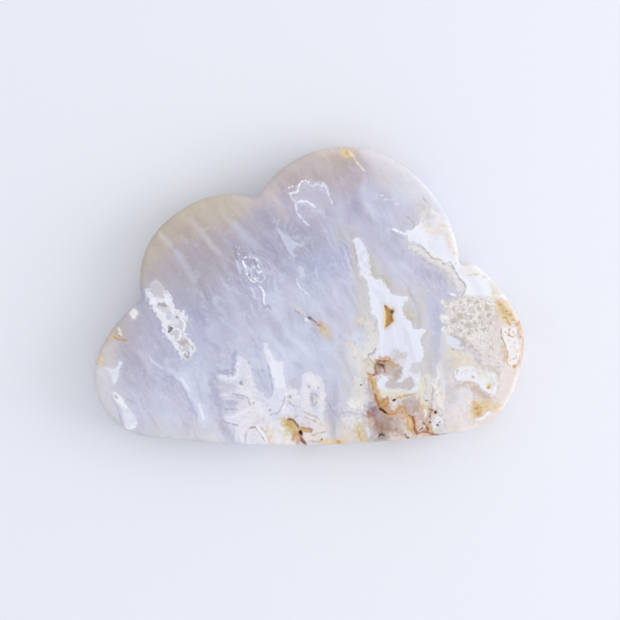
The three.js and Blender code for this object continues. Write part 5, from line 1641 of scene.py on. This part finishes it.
class AgateLook(bpy.types.PropertyGroup):
    """Finish of the stone."""

    cloudiness: FloatProperty(
        name="Cloudiness", description="How strongly fine streaks lighten and darken the ground",
        default=0.36, min=0, max=1)
    gloss_roughness: FloatProperty(
        name="Roughness", description="Roughness of the polished face", default=0.2, min=0, max=1)
    translucency: FloatProperty(
        name="Translucency", description="Share of light that scatters under the surface", default=0.18,
        min=0, max=1)
    albedo_gain: FloatProperty(
        name="Albedo gain", description="Factor from the colour seen to the stone's own colour", default=0.92,
        min=0.3, max=1.3)


class AgateStage(bpy.types.PropertyGroup):
    """Floor, lights and camera."""

    floor_colour: FloatVectorProperty(
        name="Floor", description="Colour of the pale floor", subtype="COLOR", size=3,
        default=(0.77, 0.785, 0.85), min=0, max=1)
    floor_side: FloatProperty(
        name="Floor size", description="Side of the square floor", default=3, unit="LENGTH")
    floor_roughness: FloatProperty(
        name="Floor roughness", description="Roughness of the floor", default=0.7, min=0, max=1)
    sky_colour: FloatVectorProperty(
        name="Fill light", description="Colour of the soft light from all round", subtype="COLOR", size=3,
        default=(0.97, 0.98, 1.0), min=0, max=1)
    sky_strength: FloatProperty(
        name="Fill strength", description="Strength of the soft light from all round", default=0.94, min=0)
    key_power: FloatProperty(
        name="Key power", description="Power of the large lamp", subtype="POWER", unit="POWER", default=2.15,
        min=0)
    key_side: FloatProperty(
        name="Key size", description="Side of the large square lamp", default=0.5, unit="LENGTH")
    key_place: FloatVectorProperty(
        name="Key place", description="Where the large lamp hangs", subtype="XYZ", unit="LENGTH", size=3,
        default=(0.6, 0.0, 0.27))
    lens: FloatProperty(name="Lens", description="Focal length in millimetres", default=85, min=20)
    camera_place: FloatVectorProperty(
        name="Camera place", description="Where the camera looks down from", subtype="XYZ", unit="LENGTH",
        size=3, default=(0.19 * MM, -2.58 * MM, 0.2781))


class AGATE_OT_slab(bpy.types.Operator):
    """Builds the slab's fine mesh, with its hollows and markings"""

    bl_idname = "agate.slab"
    bl_label = "Agate Slab"

    def execute(self, context):
        vertices, faces, thickness = slab_mesh(context.scene.agate_shape)
        places = pattern_places(vertices, thickness)
        sink = hollow_depth(vertices[:, :2])
        upper = vertices[:, 2] > thickness / 2
        vertices[upper, 2] = np.minimum(vertices[upper, 2], thickness - sink[upper])
        mesh = bpy.data.meshes.new(PIECE)
        mesh.from_pydata((vertices * MM).tolist(), [], faces)
        if not mesh.polygons:
            raise RuntimeError("the slab's mesh has no faces")
        marks = all_marks()
        ground = ground_colour(marks, places)
        store(mesh, "ground", "FLOAT_COLOR", "color", np.column_stack([ground, np.ones(len(ground))]))
        store(mesh, "stains", "FLOAT_COLOR", "color", stain_values(marks, places))
        for name, layer in marks.layers.items():
            colour, deep = layer_values(layer, places)
            store(mesh, name, "FLOAT_COLOR", "color", colour)
            store(mesh, name + "_depth", "FLOAT", "value", deep)
        store(mesh, "flow", "FLOAT_VECTOR", "vector", flow_places(places, vertices, thickness))
        for name, parts in marks.masks.items():
            if name == "raw":
                value = mask_values(parts, vertices[:, :2]) * (vertices[:, 2] > thickness - RAW_REACH)
            else:
                value = mask_values(parts, places)
            store(mesh, name, "FLOAT", "value", value)
        mesh.shade_smooth()
        piece = bpy.data.objects.new(PIECE, mesh)
        context.scene.collection.objects.link(piece)
        mesh.materials.append(agate_material(context.scene.agate_look))
        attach(piece, "root")
        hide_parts(NODE)
        return {"FINISHED"}


def pale_floor(stage):
    """A large flat floor at the height of the slab's back."""
    half = stage.floor_side / 2
    mesh = bpy.data.meshes.new("floor")
    mesh.from_pydata([(-half, -half, 0), (half, -half, 0), (half, half, 0), (-half, half, 0)], [],
                     [(0, 1, 2, 3)])
    n = Nodes("floor")
    n.surface(n.add("ShaderNodeBsdfPrincipled", Base_Color=(*stage.floor_colour, 1),
                    Roughness=stage.floor_roughness))
    mesh.materials.append(n.material)
    return bpy.data.objects.new("floor", mesh)


def key_lamp(stage):
    """A large square lamp that points at the stone and leaves no glare on it."""
    data = bpy.data.lights.new("key", "AREA")
    data.energy = stage.key_power
    data.size = stage.key_side
    lamp = bpy.data.objects.new("key", data)
    lamp.location = stage.key_place
    lamp.rotation_euler = (-Vector(stage.key_place)).to_track_quat("-Z", "Y").to_euler()
    lamp.visible_glossy = False
    return lamp


def soft_sky(stage):
    """Even light from all round."""
    world = bpy.data.worlds.new("studio")
    world.use_nodes = True
    background = world.node_tree.nodes["Background"]
    background.inputs["Color"].default_value = (*stage.sky_colour, 1)
    background.inputs["Strength"].default_value = stage.sky_strength
    return world


class AGATE_OT_stage(bpy.types.Operator):
    """Lays the pale floor and sets up the soft light and the overhead camera"""

    bl_idname = "agate.stage"
    bl_label = "Agate Stage"

    def execute(self, context):
        scene = context.scene
        stage = scene.agate_stage
        floor = pale_floor(stage)
        camera = bpy.data.objects.new("camera", bpy.data.cameras.new("camera"))
        camera.data.lens = stage.lens
        camera.data.sensor_width = FILM_WIDTH
        camera.data.clip_start = NEAREST_SEEN
        camera.location = stage.camera_place
        for item in (floor, key_lamp(stage), camera):
            scene.collection.objects.link(item)
        scene.world = soft_sky(stage)
        scene.camera = camera
        scene.view_settings.view_transform = "Standard"
        return {"FINISHED"}


class AGATE_PT_panel(bpy.types.Panel):
    """Lists the agate's sizes, finish, stage and operators"""

    bl_idname = "AGATE_PT_panel"
    bl_label = "Agate"
    bl_space_type = "VIEW_3D"
    bl_region_type = "UI"
    bl_category = "Agate"

    def draw(self, context):
        for group, operator in (("agate_shape", None), ("agate_look", "agate.slab"),
                                ("agate_stage", "agate.stage")):
            settings = getattr(context.scene, group)
            box = self.layout.box()
            for name in settings.__annotations__:
                box.prop(settings, name)
            if operator:
                box.operator(operator)


CLASSES = (AgateShape, AgateLook, AgateStage, AGATE_OT_slab, AGATE_OT_stage, AGATE_PT_panel)


def register():
    for item in CLASSES:
        bpy.utils.register_class(item)
    bpy.types.Scene.agate_shape = PointerProperty(type=AgateShape)
    bpy.types.Scene.agate_look = PointerProperty(type=AgateLook)
    bpy.types.Scene.agate_stage = PointerProperty(type=AgateStage)


def unregister():
    del bpy.types.Scene.agate_shape
    del bpy.types.Scene.agate_look
    del bpy.types.Scene.agate_stage
    for item in reversed(CLASSES):
        bpy.utils.unregister_class(item)


def main():
    register()
    bpy.ops.agate.stage()
    bpy.ops.agate.slab()


if __name__ == "__main__":
    main()
